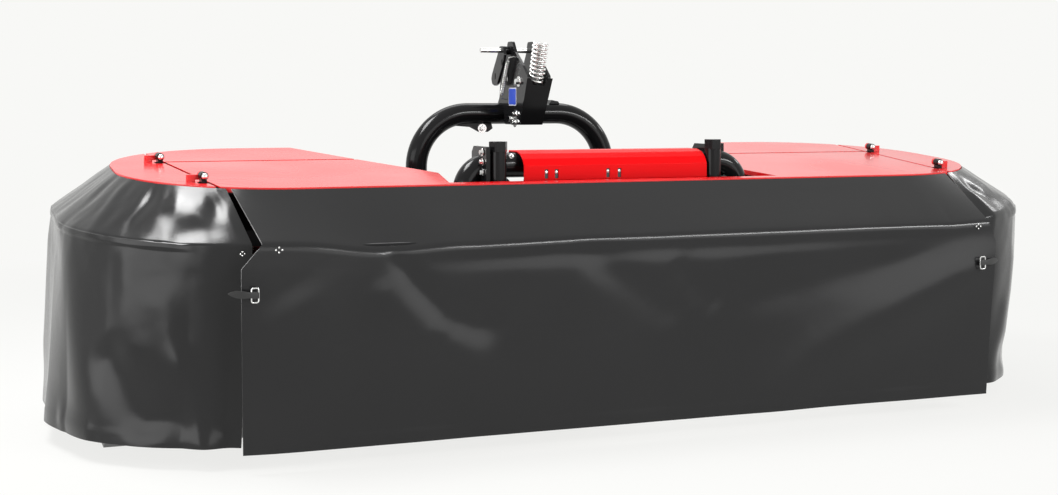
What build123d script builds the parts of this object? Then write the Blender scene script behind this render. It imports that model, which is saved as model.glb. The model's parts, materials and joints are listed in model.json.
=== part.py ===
"""A front-mounted disc mower: a cutter bar with oval discs under a folding red cover with
black aprons, hung by two pull arms from the front beam, on an arched three-point headstock.

Millimetres. X is to the mower's left as seen from its front, -Y is the way it travels and
+Z is up. The skids stand on Z = 0, and the origin is under the middle of the whole outline.
"""

import os
from collections import namedtuple
from math import atan, cos, degrees, hypot, radians, sin, sqrt

from build123d import *

os.makedirs("parts", exist_ok=True)

# Clearances
SEAT = 0.3  # between a piece and what it rests on or runs against
RUNNING = 0.05  # radial, of a shaft in its bore
OPEN_GAP = 6.0  # between two pieces that move past each other
FAR = 2000.0  # longer than anything that a bore or trim cuts

# Cover: its top faces lie in one plane that rises to the rear
COVER_TILT = 4.3
COVER_FRONT_Y = -480.0
COVER_FRONT_Z = 586.0
SHEET = 3.0
RIM = 12.0  # fold under the cover's outer edge
FLANGE = 38.0  # fold along the edges of the notch for the headstock
BEND_DROP = 109.0  # from the cover's top down to the bend of the aprons

# Seams that part the cover, in the cover's frame: v runs to the rear from its front edge
SEAM_X = 951.0
SEAM_LEAN = 0.12
SEAM_GAP = 8.0
LONG_SEAM_V = 518.0
LONG_SEAM_GAP = 14.0
NOTCH_FRONT_V = 30.0
NOTCH_FRONT_X = 430.0
NOTCH_WAIST_V = 210.0
NOTCH_WAIST_X = 400.0
NOTCH_SEAM_X = 527.0
NOTCH_REAR_X = 645.0

# Outlines of the rounded ends, at the plates, at the aprons' bend and at their hem
Outline = namedtuple("Outline", "front rear side front_radius rear_radius seam_front seam_rear")
PLATE = Outline(-480.0, 330.0, 1145.0, 360.0, 360.0, 941.0, 1042.0)
BEND = Outline(-595.0, 480.0, 1275.0, 500.0, 450.0, 905.0, 1066.0)
HEM = Outline(-560.0, 500.0, 1300.0, 420.0, 420.0, 928.0, 1074.0)
HEM_Z = 45.0
APRON = 5.0  # thickness of the apron cloth with its hems
REAR_HEM_Z = 150.0
REAR_CURTAIN_X = 640.0

# Front apron
FRONT_BEND_Y = -620.0
FRONT_HEM_Y = -632.0
FRONT_HEM_Z = 40.0
FRONT_BEND_X = 905.0
FRONT_CORNER_X = 944.0
FRONT_CORNER_Z = 415.0
FRONT_HEM_X = 937.0
FRONT_TOP_X = 925.0

# Rails that carry the aprons
RAIL_R = 9.0
RAIL_INSET = APRON + RAIL_R + 2.5
RAIL_DROP = BEND_DROP + 6.0
RAIL_HALF = 870.0
RAIL_PAST_ARM = 40.0
FRONT_ARMS_X = (230.0, 540.0, RAIL_HALF - RAIL_PAST_ARM)
FRONT_ARM_V = 70.0
ARM_THICK = 6.0

# Hinges of the guards
PIN_R = 5.0
PIN_END = 3.0  # how far a pin stands out of its last ear
PIN_HEAD_R = 7.5
PIN_HEAD_OUT = 2.0
BARREL_R = 9.5
SIDE_AXIS_W = 15.0
SIDE_AXIS_OUT = 12.0  # from the seam's middle to the pins
BARREL_TO_SEAM = 12.0  # from the rear pins forward to the long seam
SIDE_BARREL_V = (117.0, LONG_SEAM_V - BARREL_TO_SEAM)
BARREL_LENGTH = 20.0
EAR_THICK = 8.0
EAR_REACH = 34.0  # from the pin out over the side plate
LUG_WIDTH = 12.0
AXIS_TO_SEAM = 21.0
FRONT_AXIS_V = LONG_SEAM_V - AXIS_TO_SEAM
FRONT_AXIS_W = -17.0
FRONT_LUG_X = (600.0, 900.0)
FRONT_LUG_THICK = 18.0
FRONT_RING_R = 9.0

# Fixed rails under the cover
SEAM_RAIL_W = -48.0
SEAM_RAIL_LOW = -80.0
POST_LOW = -110.0
SEAM_RAIL_WIDTH = 40.0
SEAM_RAIL_LENGTH = (24.0, 700.0)
STRUTS = ((700.0, 790.0), (975.0, 700.0))
STRUT = 26.0
SEAM_TO_STRUT = 10.0
STRUT_START_V = LONG_SEAM_V + SEAM_TO_STRUT

# Cutter bar, discs and knives
DISC_COUNT = 6
DISC_PITCH = 395.0
DISC_Y = -200.0
TIP_R = 235.0
DISC_LONG = 185.0
DISC_SHORT = 142.0
DISC_Z = 77.0
RIM_THICK = 8.0
CROWN_R = 92.0
CROWN_TOP_R = 55.0
CROWN_HEIGHT = 30.0
SPINDLE_R = 17.5
SPINDLE_LENGTH = 34.0
KNIFE_WIDTH = 46.0
KNIFE_THICK = 4.0
KNIFE_ROOT = 140.0
KNIFE_BOLT_R = 8.0
KNIFE_HEAD_R = 15.0
KNIFE_HEAD = 6.0
KNIFE_BOLT_AT = 163.0
HUB_R = 55.0
BAR_BOTTOM = 14.0
BAR_TOP = 56.0
BAR_HALF = DISC_PITCH * (DISC_COUNT - 1) / 2 + 130.5
BAR_FRONT_Y = -262.0
BAR_REAR_Y = 62.0
LOBE_R = 104.0
SKID = 6.0
SKID_WIDTH = 250.0
SKID_FRONT_Y = -322.0
SKID_TOE = 34.0
SHOE_WIDTH = 64.0

# Crop drums on the outer discs
DRUM_BASE_R = 122.0
DRUM_TOP_R = 96.0
DRUM_WALL = 4.0
DRUM_TOP_Z = 318.0
DRUM_SHAFT_R = 20.0
DRUM_RIB = 9.0

# Drive
DRIVE_Z = 400.0
DRIVE_TUBE_R = 34.0
GEARBOX_HALF = 80.0
GEARBOX_BOTTOM = 338.0
GEARBOX_TOP = 466.0
INPUT_HOUSING_R = 40.0
INPUT_HOUSING_END_Y = 232.0
STUB_R = 17.4
STUB_JOURNAL_R = 22.0
STUB_LENGTH = 92.0
STUB_INSIDE = 60.0
CONE_R = 66.0
CONE_END_Y = 344.0

# Main beam and the uprights that carry the cutter bar
BEAM_HALF = BAR_HALF + 2.0
BEAM_Y = (-25.0, 65.0)
BEAM_Z = (455.0, 545.0)
UPRIGHT_X = (BAR_HALF - 88.0, BAR_HALF - 26.0)

# Front beam, its brackets, posts and red cover
FRONT_BEAM_Y = -360.0
FRONT_BEAM_Z = 622.0
TUBE_R = 30.0
FRONT_BEAM_CORNER_X = 362.0
FRONT_BEAM_REAR_Z = 490.0
FRONT_BEAM_BEND = 62.0
BRACKET_X = (261.0, 321.0)
BRACKET_THICK = 10.0
BRACKET_Y = (-424.0, -318.0)
BRACKET_Z = (500.0, 668.0)
BRACKET_STEP = ((-424.0, 576.0), (-358.0, 596.0))  # where the narrow plates step back from the posts
POST_X = (-296.5, 272.0)
POST_R = 20.0
POST_BOTTOM_Z = 506.0
POST_TOP_Z = 656.0
POST_CAP_R = 23.0
POST_CAP = 24.0
BEAM_COVER_X = (-236.0, 248.0)
BEAM_COVER_FOLD = (-424.0, 622.0)
BEAM_COVER_ROUND = ((-414.0, 638.5), (-397.0, 650.0))
BEAM_COVER_TOP = (-373.0, 656.0)
BEAM_COVER_REAR_Y = -318.0
BEAM_COVER_BOTTOM_Z = 588.0
SLOT_X = (-179.0, -153.0, -19.0, 11.0)
SLOT = (9.0, 22.0)
SLOT_Z = 602.0

# Headstock
PLATE_SOFT = 10.0  # rounding of the head's and lever's corners
ARCH_Y = 300.0
ARCH_X = 285.0
ARCH_TOP_Z = 738.0
ARCH_BEND = 150.0
CROSS_HALF = ARCH_X + TUBE_R + 15.0
CROSS_Y = (262.0, 338.0)
CROSS_Z = (250.0, 320.0)
HITCH_PLATE = 16.0
HITCH_Y = 552.0
HITCH_Z = 300.0
HITCH_PIN_R = 14.0
HITCH_PIN_LENGTH = 100.0
HITCH_COLLAR_R = 23.0
HITCH_COLLAR = 8.0
HITCH_PLATE_R = 38.0
HEAD_HALF = 34.0
HEAD_PLATE = 8.0
HEAD_BOTTOM_Z = 708.0
HEAD_FACE = ((143.0, 708.0), (76.0, 836.0))  # the front plate's lower and upper edge
HEAD_FACE_HALF = (33.0, 37.5)
TOP_LINK_Y = 256.0
TOP_LINK_Z = 836.0
TOP_LINK_R = 12.75
LATCH_ROD_R = 7.0
LATCH_ROD_X = (-120.0, 42.0)
LATCH_ROD = (228.0, 916.0)
LEVER_X = (-58.0, -50.0)
LEVER_BOSS_R = 12.0
LEVER_SLOTS = ((222.0, 884.0), (278.0, 845.0))
SPRING_R = 23.0
SPRING_WALL = 6.5
SPRING_FOOT = (106.0, 826.0)
SPRING_HEAD = (71.0, 937.0)
SPRING_ROD_R = 9.0
SPRING_SEAT = 8.0

# Pull arms and stop links between the headstock and the cutting unit
ARM_X = 296.5
ARM_R = 20.0
ARM_FRONT = (-360.0, 540.0)
ARM_REAR = (236.0, 344.0)
ARM_PIN_R = 10.0
ARM_EYE_R = 26.0
LINK_X = 215.0
LINK_THICK = 10.0

# Parking stands
STAND_X = 180.0
STAND_Y = 300.0
STAND_Z = 214.0
STAND_TUBE = 38.0
STAND_PIN_R = 9.0
STAND_FOOT = 84.0
STAND_FOOT_THICK = 6.0
STAND_FOOT_OFFSET = -58.0
STAND_LUG_THICK = 10.0

# Swath boards
BOARD_THICK = 4.0
BOARD_FRONT = (UPRIGHT_X[0], 136.0)
BOARD_REAR = (812.0, 452.0)
BOARD_Z = (46.0, 360.0)

# The outline's middle in Y, which becomes Y = 0
MIDDLE_Y = (FRONT_HEM_Y + HITCH_Y + HITCH_PLATE_R) / 2

COVER = Plane(
    origin=(0, COVER_FRONT_Y, COVER_FRONT_Z),
    x_dir=(1, 0, 0),
    z_dir=(0, -sin(radians(COVER_TILT)), cos(radians(COVER_TILT))),
)
SEAM_ANGLE = degrees(atan(SEAM_LEAN))
DISC_X = [DISC_PITCH * (i - (DISC_COUNT - 1) / 2) for i in range(DISC_COUNT)]
nodes = {}


# ---------------------------------------------------------------- helpers
def block(x, y, z):
    """A box between pairs of limits."""
    (x0, x1), (y0, y1), (z0, z1) = x, y, z
    return Pos((x0 + x1) / 2, (y0 + y1) / 2, (z0 + z1) / 2) * Box(x1 - x0, y1 - y0, z1 - z0)


def rod(radius, start, end):
    """A round bar from one point to another."""
    axis = Vector(*end) - Vector(*start)
    base = Plane(origin=start, z_dir=axis)
    return base * Cylinder(radius, axis.length, align=(Align.CENTER, Align.CENTER, Align.MIN))


def slab(points, x, soft=0.0):
    """A plate that stands in a plane across X, from its (y, z) corners, which soft rounds."""
    outline = Polygon(*points, align=None)
    if soft:
        outline = fillet(outline.vertices(), soft)
    face = Plane.YZ * outline
    return Pos(x[0], 0, 0) * extrude(face, amount=x[1] - x[0], dir=(1, 0, 0))


def flat(points, bottom, top):
    """A level plate from its (x, y) corners."""
    return Pos(0, 0, bottom) * extrude(Polygon(*points, align=None), amount=top - bottom, dir=(0, 0, 1))


def both(shape):
    """The shape and its mirror image on the other side of the machine."""
    return Part() + [shape, mirror(shape, about=Plane.YZ)]


def left(shape):
    return mirror(shape, about=Plane.YZ)


def keep(name, shape):
    nodes[name] = shape


def seam_x(v):
    return SEAM_X + SEAM_LEAN * v


def arc_y(outline, x, rear=False):
    """Where the outline's rounded corner is at a distance x from the middle."""
    if rear:
        radius, centre = outline.rear_radius, outline.rear - outline.rear_radius
        return centre + sqrt(radius**2 - (x - outline.side + radius) ** 2)
    radius, centre = outline.front_radius, outline.front + outline.front_radius
    return centre - sqrt(radius**2 - (x - outline.side + radius) ** 2)


def end_path(outline, inset, y_shift=0.0):
    """The right end's outline, moved inwards by inset: an arc, a straight side and an arc."""
    side = outline.side - inset
    edges = []
    for rear in (False, True):
        radius = (outline.rear_radius if rear else outline.front_radius) - inset
        x = outline.seam_rear if rear else outline.seam_front
        cx = side - radius
        cy = (outline.rear - inset - radius if rear else outline.front + inset + radius) - y_shift
        reach = sqrt(radius**2 - (x - cx) ** 2)
        start = (x, cy + reach if rear else cy - reach)
        middle_angle = radians(45 if rear else -45)
        end = (side, cy)
        chord = (Vector(*start) + Vector(*end)) / 2 - Vector(cx, cy)
        middle = Vector(cx, cy) + chord.normalized() * radius
        edges.append((start, (middle.X, middle.Y), end))
    (s0, m0, e0), (s1, m1, e1) = edges
    return [ThreePointArc(s0, m0, e0), Line(e0, e1), ThreePointArc(e1, m1, s1)], s0, s1


def end_band(outline, y_shift=0.0):
    """The thin closed outline of the cloth round the right end."""
    outer, outer_start, outer_end = end_path(outline, 0.0, y_shift)
    inner, inner_start, inner_end = end_path(outline, APRON, y_shift)
    edges = outer + [Line(outer_end, inner_end)] + inner[::-1] + [Line(inner_start, outer_start)]
    return Wire([e.edge() for e in edges])


def strip_band(outer, inset):
    """The thin closed outline of cloth along a run of (x, y) points, set in towards +Y."""
    inner = [(x, y + inset) for x, y in outer]
    return Polyline(*outer, *inner[::-1], close=True).wire()


# ---------------------------------------------------------------- cover plates
def cover_outline():
    depth = PLATE.rear - PLATE.front
    face = Pos(0, depth / 2) * Rectangle(2 * PLATE.side, depth)
    return fillet(face.vertices(), PLATE.front_radius)


def seam_region(side, start, end, gap):
    """The plan region outside (side = 1) or inside (side = -1) the right seam."""
    far = 400.0 if side > 0 else -2.5 * SEAM_X
    shift = side * gap / 2
    corners = [
        (seam_x(start) + shift, start),
        (seam_x(end) + shift, end),
        (seam_x(end) + far, end),
        (seam_x(start) + far, start),
    ]
    return Polygon(*corners, align=None)


def notch():
    v_end = PLATE.rear - PLATE.front + 20.0
    half = [
        (NOTCH_FRONT_X, NOTCH_FRONT_V),
        (NOTCH_WAIST_X, NOTCH_WAIST_V),
        (NOTCH_SEAM_X, LONG_SEAM_V),
        (NOTCH_REAR_X, v_end),
    ]
    return Polygon(*half, *[(-x, v) for x, v in half[::-1]], align=None)


def flange(start, end, depth):
    """A fold that hangs from the cover's edge between two plan points, the nearer one first."""
    run = Vector(*end) - Vector(*start)
    inward = Vector(run.Y, -run.X).normalized() * SHEET
    corners = [start, end, (end[0] + inward.X, end[1] + inward.Y), (start[0] + inward.X, start[1] + inward.Y)]
    return flat(corners, -depth, -SHEET)


def lug_windows():
    """What the side plates leave open round the fixed lugs of their hinges."""
    cut = Part()
    side = LUG_WIDTH / 2 + OPEN_GAP
    end = BARREL_LENGTH / 2 + OPEN_GAP
    for v in SIDE_BARREL_V:
        x = seam_x(v) + SIDE_AXIS_OUT
        cut += block((x - side, x + side), (v - end, v + end), (SEAM_RAIL_W, SIDE_AXIS_W))
    return both(cut)


outline = cover_outline()
panel = extrude(outline, amount=SHEET, dir=(0, 0, -1))
rim = extrude(outline - offset(outline, -SHEET), amount=RIM, dir=(0, 0, -1))
skin = panel + rim - extrude(notch(), amount=RIM + 1, dir=(0, 0, -1))

front_v = (-5.0, LONG_SEAM_V - LONG_SEAM_GAP / 2)
rear_v = (LONG_SEAM_V + LONG_SEAM_GAP / 2, PLATE.rear - PLATE.front + 5.0)
inside_front = seam_region(-1, *front_v, SEAM_GAP)
inside_front = inside_front & mirror(inside_front, about=Plane.YZ)
inside_rear = seam_region(-1, *rear_v, SEAM_GAP)
inside_rear = inside_rear & mirror(inside_rear, about=Plane.YZ)
outside = seam_region(1, front_v[0], rear_v[1], SEAM_GAP)


def through(region):
    return Pos(0, 0, -60.0) * extrude(region, amount=80.0, dir=(0, 0, 1))


front_plate = skin & through(inside_front)
notch_edge = [
    (NOTCH_FRONT_X, NOTCH_FRONT_V),
    (NOTCH_WAIST_X, NOTCH_WAIST_V),
    (NOTCH_SEAM_X, LONG_SEAM_V),
    (NOTCH_REAR_X, PLATE.rear - PLATE.front + 20.0),
]


def along(start, end, v):
    """The point at a given v on the line from start to end."""
    share = (v - start[1]) / (end[1] - start[1])
    return (start[0] + share * (end[0] - start[0]), v)


front_flanges = flange(notch_edge[1], along(*notch_edge[1:3], front_v[1]), FLANGE)
front_flanges += flange(*notch_edge[:2], RIM)
front_plate += both(front_flanges)
ears = Part()
for x in FRONT_LUG_X:
    for side in (-1, 1):
        inner = x + side * (FRONT_LUG_THICK / 2 + SEAT)
        span = sorted((inner, inner + side * EAR_THICK))
        neck = block(span, (FRONT_AXIS_V - FRONT_RING_R, FRONT_AXIS_V + FRONT_RING_R), (FRONT_AXIS_W, -SHEET))
        ring = rod(FRONT_RING_R, (span[0], FRONT_AXIS_V, FRONT_AXIS_W), (span[1], FRONT_AXIS_V, FRONT_AXIS_W))
        ears += neck + ring
    reach = FRONT_LUG_THICK / 2 + EAR_THICK + 4.0
    ears -= rod(PIN_R + RUNNING, (x - reach, FRONT_AXIS_V, FRONT_AXIS_W), (x + reach, FRONT_AXIS_V, FRONT_AXIS_W))
front_plate += both(ears)
keep("front_plate", COVER * front_plate)

side_plate = (skin & through(outside)) - lug_windows()
seam_dir = Vector(SEAM_LEAN, 1, 0).normalized()
barrels = Part()
lugs = Part()
pins = Part()
for v in SIDE_BARREL_V:
    centre = Vector(seam_x(v) + SIDE_AXIS_OUT, v, SIDE_AXIS_W)
    turned = Pos(*centre) * Rot(0, 0, -SEAM_ANGLE)
    bar = Rot(90, 0, 0) * Cylinder(BARREL_R, BARREL_LENGTH)
    lug_bottom = SEAM_RAIL_W - SIDE_AXIS_W
    post = block((-LUG_WIDTH / 2, LUG_WIDTH / 2), (-BARREL_LENGTH / 2, BARREL_LENGTH / 2), (lug_bottom, 0.0))
    bore = Rot(90, 0, 0) * Cylinder(PIN_R, 4 * BARREL_LENGTH)
    lugs += turned * (bar + post - bore)
    ear_y = BARREL_LENGTH / 2 + SEAT + EAR_THICK / 2
    ear = Pos(0, ear_y, 0) * Rot(90, 0, 0) * Cylinder(BARREL_R, EAR_THICK)
    neck = block((0.0, EAR_REACH), (ear_y - EAR_THICK / 2, ear_y + EAR_THICK / 2), (-BARREL_R, 2.0))
    foot = block(
        (LUG_WIDTH / 2 + OPEN_GAP + SHEET, EAR_REACH),
        (ear_y - EAR_THICK / 2, ear_y + EAR_THICK / 2),
        (-SIDE_AXIS_W, 0.0),
    )
    running = Rot(90, 0, 0) * Cylinder(PIN_R + RUNNING, 4 * BARREL_LENGTH)
    barrels += turned * (ear + neck + foot - running)
    pin_from = -BARREL_LENGTH / 2 - PIN_HEAD_OUT
    pin_to = ear_y + EAR_THICK / 2 + PIN_END
    shank = Pos(0, (pin_from + pin_to) / 2, 0) * Rot(90, 0, 0) * Cylinder(PIN_R, pin_to - pin_from)
    dome = Sphere(PIN_HEAD_R)
    head = Pos(0, pin_from, 0) * (dome & block((-PIN_HEAD_R, PIN_HEAD_R), (-PIN_HEAD_R, 0), (-PIN_HEAD_R, PIN_HEAD_R)))
    pins += turned * (shank + head)
side_plate += barrels
keep("side_plate_right", COVER * side_plate)
keep("side_plate_left", COVER * left(side_plate))

right_half = Pos(FAR / 2, 0) * Rectangle(FAR, 2 * FAR)
rear_plate = skin & through(inside_rear) & through(right_half)
rear_end = along(*notch_edge[2:4], PLATE.rear - PLATE.front)
rear_plate += flange(along(*notch_edge[2:4], rear_v[0]), rear_end, FLANGE)
keep("rear_plates", COVER * both(rear_plate))


# ---------------------------------------------------------------- aprons
def end_apron():
    shift = COVER_FRONT_Y
    top = COVER * Pos(0, 0, -RIM) * end_band(PLATE, shift)
    bend = COVER * Pos(0, 0, -BEND_DROP) * end_band(BEND, shift)
    hem = Pos(0, 0, HEM_Z) * end_band(HEM)
    slope = Solid.make_loft([top, bend], ruled=True)
    skirt = Solid.make_loft([bend, hem], ruled=True)
    return slope + skirt


end_cloth = end_apron()
keep("side_apron_right", end_cloth)
keep("side_apron_left", left(end_cloth))

corner_v = arc_y(PLATE, FRONT_TOP_X) - COVER_FRONT_Y
round_x = PLATE.side - PLATE.front_radius
bend_v = (FRONT_BEND_Y - COVER_FRONT_Y - BEND_DROP * sin(radians(COVER_TILT))) / cos(radians(COVER_TILT))
top_run = [(-FRONT_TOP_X, corner_v), (-round_x, 0.0), (round_x, 0.0), (FRONT_TOP_X, corner_v)]
bend_run = [(-FRONT_BEND_X, bend_v), (-round_x, bend_v), (round_x, bend_v), (FRONT_BEND_X, bend_v)]
front_slope = Solid.make_loft(
    [
        COVER * Pos(0, 0, -RIM) * strip_band(top_run, APRON),
        COVER * Pos(0, 0, -BEND_DROP) * strip_band(bend_run, APRON),
    ],
    ruled=True,
)


def cover_point(v, w):
    """The (y, z) of a point in the cover's frame."""
    place = COVER.from_local_coords(Vector(0, v, w))
    return (place.Y, place.Z)


skirt_profile = [
    cover_point(bend_v, -BEND_DROP),
    cover_point(bend_v + APRON, -BEND_DROP),
    (FRONT_HEM_Y + APRON, FRONT_HEM_Z),
    (FRONT_HEM_Y, FRONT_HEM_Z),
]
front_skirt = slab(skirt_profile, (-FRONT_CORNER_X, FRONT_CORNER_X))
bend_z = cover_point(bend_v, -BEND_DROP)[1]
half = [(FRONT_BEND_X, bend_z + 5.0), (FRONT_BEND_X, bend_z), (FRONT_CORNER_X, FRONT_CORNER_Z), (FRONT_HEM_X, 0.0)]
front_face = Plane.XZ * Polygon(*half, *[(-x, z) for x, z in half[::-1]], align=None)
front_skirt &= extrude(front_face, amount=FAR, dir=(0, -1, 0))
keep("front_apron_top", front_slope)
keep("front_apron_skirt", front_skirt)

rear_top_run = [
    (REAR_CURTAIN_X + 4.0, PLATE.rear - COVER_FRONT_Y),
    (round_x, PLATE.rear - COVER_FRONT_Y),
    (PLATE.seam_rear - SEAM_GAP - 6.0, arc_y(PLATE, PLATE.seam_rear - SEAM_GAP - 6.0, True) - COVER_FRONT_Y),
]
rear_round_x = BEND.side - BEND.rear_radius
rear_bend_run = [
    (REAR_CURTAIN_X, BEND.rear - COVER_FRONT_Y),
    (rear_round_x, BEND.rear - COVER_FRONT_Y),
    (BEND.seam_rear - SEAM_GAP - 6.0, arc_y(BEND, BEND.seam_rear - SEAM_GAP - 6.0, True) - COVER_FRONT_Y),
]
rear_hem_run = [
    (REAR_CURTAIN_X, HEM.rear - 8.0),
    (rear_round_x, HEM.rear - 8.0),
    (HEM.seam_rear - SEAM_GAP - 12.0, arc_y(HEM, HEM.seam_rear - SEAM_GAP - 12.0, True) - 8.0),
]
bands = [
    COVER * Pos(0, 0, -RIM) * strip_band(rear_top_run, -APRON),
    COVER * Pos(0, 0, -BEND_DROP) * strip_band(rear_bend_run, -APRON),
    Pos(0, 0, REAR_HEM_Z) * strip_band(rear_hem_run, -APRON),
]
rear_cloth = Solid.make_loft(bands[:2], ruled=True) + Solid.make_loft(bands[1:], ruled=True)
keep("rear_aprons", both(rear_cloth))


# ---------------------------------------------------------------- rails of the guards
def rail_arm(start, end, from_strip=False):
    """A flat arm under the slope, from a plan point under the plate out to the rail."""
    reach = Vector(*end) - Vector(*start)
    length = reach.length
    run = reach / length
    plane = Plane(origin=(start[0], start[1], 0), x_dir=(run.X, run.Y, 0), z_dir=(run.Y, -run.X, 0))
    seat = 20.0 if from_strip else 48.0
    profile = [
        (0.0, -SHEET),
        (seat, -SHEET),
        (seat, -RIM - 12.0),
        (length, -RAIL_DROP + RAIL_R - 1.0),
        (length, -RAIL_DROP - RAIL_R + 2.0),
        (seat - 8.0, -RIM - 30.0),
        (0.0, -RIM - 4.0),
    ]
    face = plane * Polygon(*profile, align=None)
    return extrude(face, amount=ARM_THICK / 2, both=True)


rail_edges, rail_start, rail_end = end_path(BEND, RAIL_INSET, COVER_FRONT_Y)
rail_plane = Pos(0, 0, -RAIL_DROP)
rail_wire = rail_plane * Wire([e.edge() for e in rail_edges])
rail_section = Plane(origin=rail_wire @ 0, z_dir=rail_wire % 0) * Circle(RAIL_R)
side_rail = sweep(rail_section, path=rail_wire)
SIDE_ARMS = [((1000.0, 160.0), 0.18), ((1076.0, 330.0), 0.46), ((1062.0, 560.0), 0.80)]
for start, share in SIDE_ARMS:
    foot = rail_wire @ share
    side_rail += rail_arm(start, (foot.X, foot.Y))
keep("side_rail_right", COVER * side_rail)
keep("side_rail_left", COVER * left(side_rail))

front_rail_v = bend_v + RAIL_INSET
front_rail = rod(RAIL_R, (-RAIL_HALF, front_rail_v, -RAIL_DROP), (RAIL_HALF, front_rail_v, -RAIL_DROP))
for x in FRONT_ARMS_X:
    narrow = x < NOTCH_FRONT_X
    start_v = NOTCH_FRONT_V - 2.0 if narrow else FRONT_ARM_V
    front_rail += both(rail_arm((x, start_v), (x, front_rail_v), narrow))
keep("front_rail", COVER * front_rail)

# ---------------------------------------------------------------- fixed frame
main_beam = block((-BEAM_HALF, BEAM_HALF), BEAM_Y, BEAM_Z)
half_w = SEAM_RAIL_WIDTH / 2
v0, v1 = SEAM_RAIL_LENGTH
corners = [
    (seam_x(v0) - half_w, v0),
    (seam_x(v0) + half_w, v0),
    (seam_x(v1) + half_w, v1),
    (seam_x(v1) - half_w, v1),
]
rails = flat(corners, SEAM_RAIL_LOW, SEAM_RAIL_W)
for x, end_v in STRUTS:
    span = (x - STRUT / 2, x + STRUT / 2)
    rails += block(span, (STRUT_START_V, end_v), (-SHEET - STRUT, -SHEET))
    rails += block(span, (STRUT_START_V, STRUT_START_V + 16.0), (POST_LOW, -SHEET))

front_lugs = Part()
front_pins = Part()
for x in FRONT_LUG_X:
    span = (x - FRONT_LUG_THICK / 2, x + FRONT_LUG_THICK / 2)
    ring = rod(FRONT_RING_R, (span[0], FRONT_AXIS_V, FRONT_AXIS_W), (span[1], FRONT_AXIS_V, FRONT_AXIS_W))
    post = block(span, (FRONT_AXIS_V - FRONT_RING_R, FRONT_AXIS_V + FRONT_RING_R), (POST_LOW, FRONT_AXIS_W))
    reach = FRONT_LUG_THICK / 2 + EAR_THICK + 3.0
    pin = rod(PIN_R, (x - reach, FRONT_AXIS_V, FRONT_AXIS_W), (x + reach, FRONT_AXIS_V, FRONT_AXIS_W))
    front_lugs += ring + post - pin
    front_pins += pin
keep("cover_rails", COVER * both(rails + front_lugs + lugs) - main_beam)
guard_pins = COVER * both(front_pins + pins)

upright_profile = [
    (BAR_REAR_Y, BAR_BOTTOM),
    (132.0, BAR_BOTTOM),
    (132.0, 110.0),
    (BEAM_Y[1] - 5.0, BEAM_Z[0]),
    (BEAM_Y[0] + 5.0, BEAM_Z[0]),
    (BAR_REAR_Y, 110.0),
]
uprights = both(slab(upright_profile, UPRIGHT_X))

# ---------------------------------------------------------------- cutter bar
bar = block((-BAR_HALF, BAR_HALF), (BAR_FRONT_Y, BAR_REAR_Y), (BAR_BOTTOM, BAR_TOP))
for x in DISC_X:
    bar += Pos(x, DISC_Y, (BAR_BOTTOM + BAR_TOP) / 2) * Cylinder(LOBE_R, BAR_TOP - BAR_BOTTOM)
    hub_height = DISC_Z - SEAT - BAR_TOP
    bar += Pos(x, DISC_Y, BAR_TOP + hub_height / 2) * Cylinder(HUB_R, hub_height)
for x in DISC_X:
    bore_depth = SPINDLE_LENGTH + 2.0
    bar -= Pos(x, DISC_Y, DISC_Z - bore_depth / 2) * Cylinder(SPINDLE_R + RUNNING, bore_depth)
keep("cutter_bar", bar)

skids = Part()
for x in DISC_X:
    profile = [
        (SKID_FRONT_Y + 46.0, 0.0),
        (BAR_REAR_Y + 20.0, 0.0),
        (BAR_REAR_Y + 20.0, SKID),
        (BAR_FRONT_Y + 4.0, SKID),
        (BAR_FRONT_Y + 4.0, BAR_BOTTOM),
        (SKID_FRONT_Y + 47.0, BAR_BOTTOM),
        (SKID_FRONT_Y + 6.0, SKID_TOE + 4.0),
        (SKID_FRONT_Y, SKID_TOE),
    ]
    shoe = slab(profile, (x - SKID_WIDTH / 2, x + SKID_WIDTH / 2))
    ribs = block((x - SKID_WIDTH / 2 + 20, x + SKID_WIDTH / 2 - 20), (-230.0, 40.0), (SKID, BAR_BOTTOM))
    skids += shoe + ribs - Pos(x, DISC_Y, 50.0) * Cylinder(LOBE_R + SEAT, 72.0)
shoe_profile = [
    (SKID_FRONT_Y + 60.0, 0.0),
    (BAR_REAR_Y + 20.0, 0.0),
    (BAR_REAR_Y + 20.0, BAR_TOP),
    (BAR_FRONT_Y, BAR_TOP),
    (SKID_FRONT_Y, SKID_TOE),
]
skids += both(slab(shoe_profile, (BAR_HALF, BAR_HALF + SHOE_WIDTH)))
keep("skids", skids)


# ---------------------------------------------------------------- discs, knives and drums
def oval(bottom, height):
    return Pos(0, 0, bottom) * extrude(Ellipse(DISC_LONG, DISC_SHORT), amount=height)


def disc():
    body = oval(DISC_Z, RIM_THICK)
    crown_profile = [
        (0.0, DISC_Z),
        (CROWN_R, DISC_Z),
        (CROWN_R, DISC_Z + RIM_THICK),
        (CROWN_TOP_R, DISC_Z + RIM_THICK + CROWN_HEIGHT),
        (0.0, DISC_Z + RIM_THICK + CROWN_HEIGHT),
    ]
    body += revolve(Plane.XZ * Polygon(*crown_profile, align=None), axis=Axis.Z)
    body += Pos(0, 0, DISC_Z - SPINDLE_LENGTH / 2) * Cylinder(SPINDLE_R, SPINDLE_LENGTH)
    for side in (-1, 1):
        shank_length = SEAT + KNIFE_THICK + SEAT + KNIFE_HEAD
        at = (side * KNIFE_BOLT_AT, 0, DISC_Z - shank_length / 2)
        body += Pos(*at) * Cylinder(KNIFE_BOLT_R, shank_length)
        body += Pos(at[0], 0, DISC_Z - shank_length + KNIFE_HEAD / 2) * Cylinder(KNIFE_HEAD_R, KNIFE_HEAD)
    return body


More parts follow.
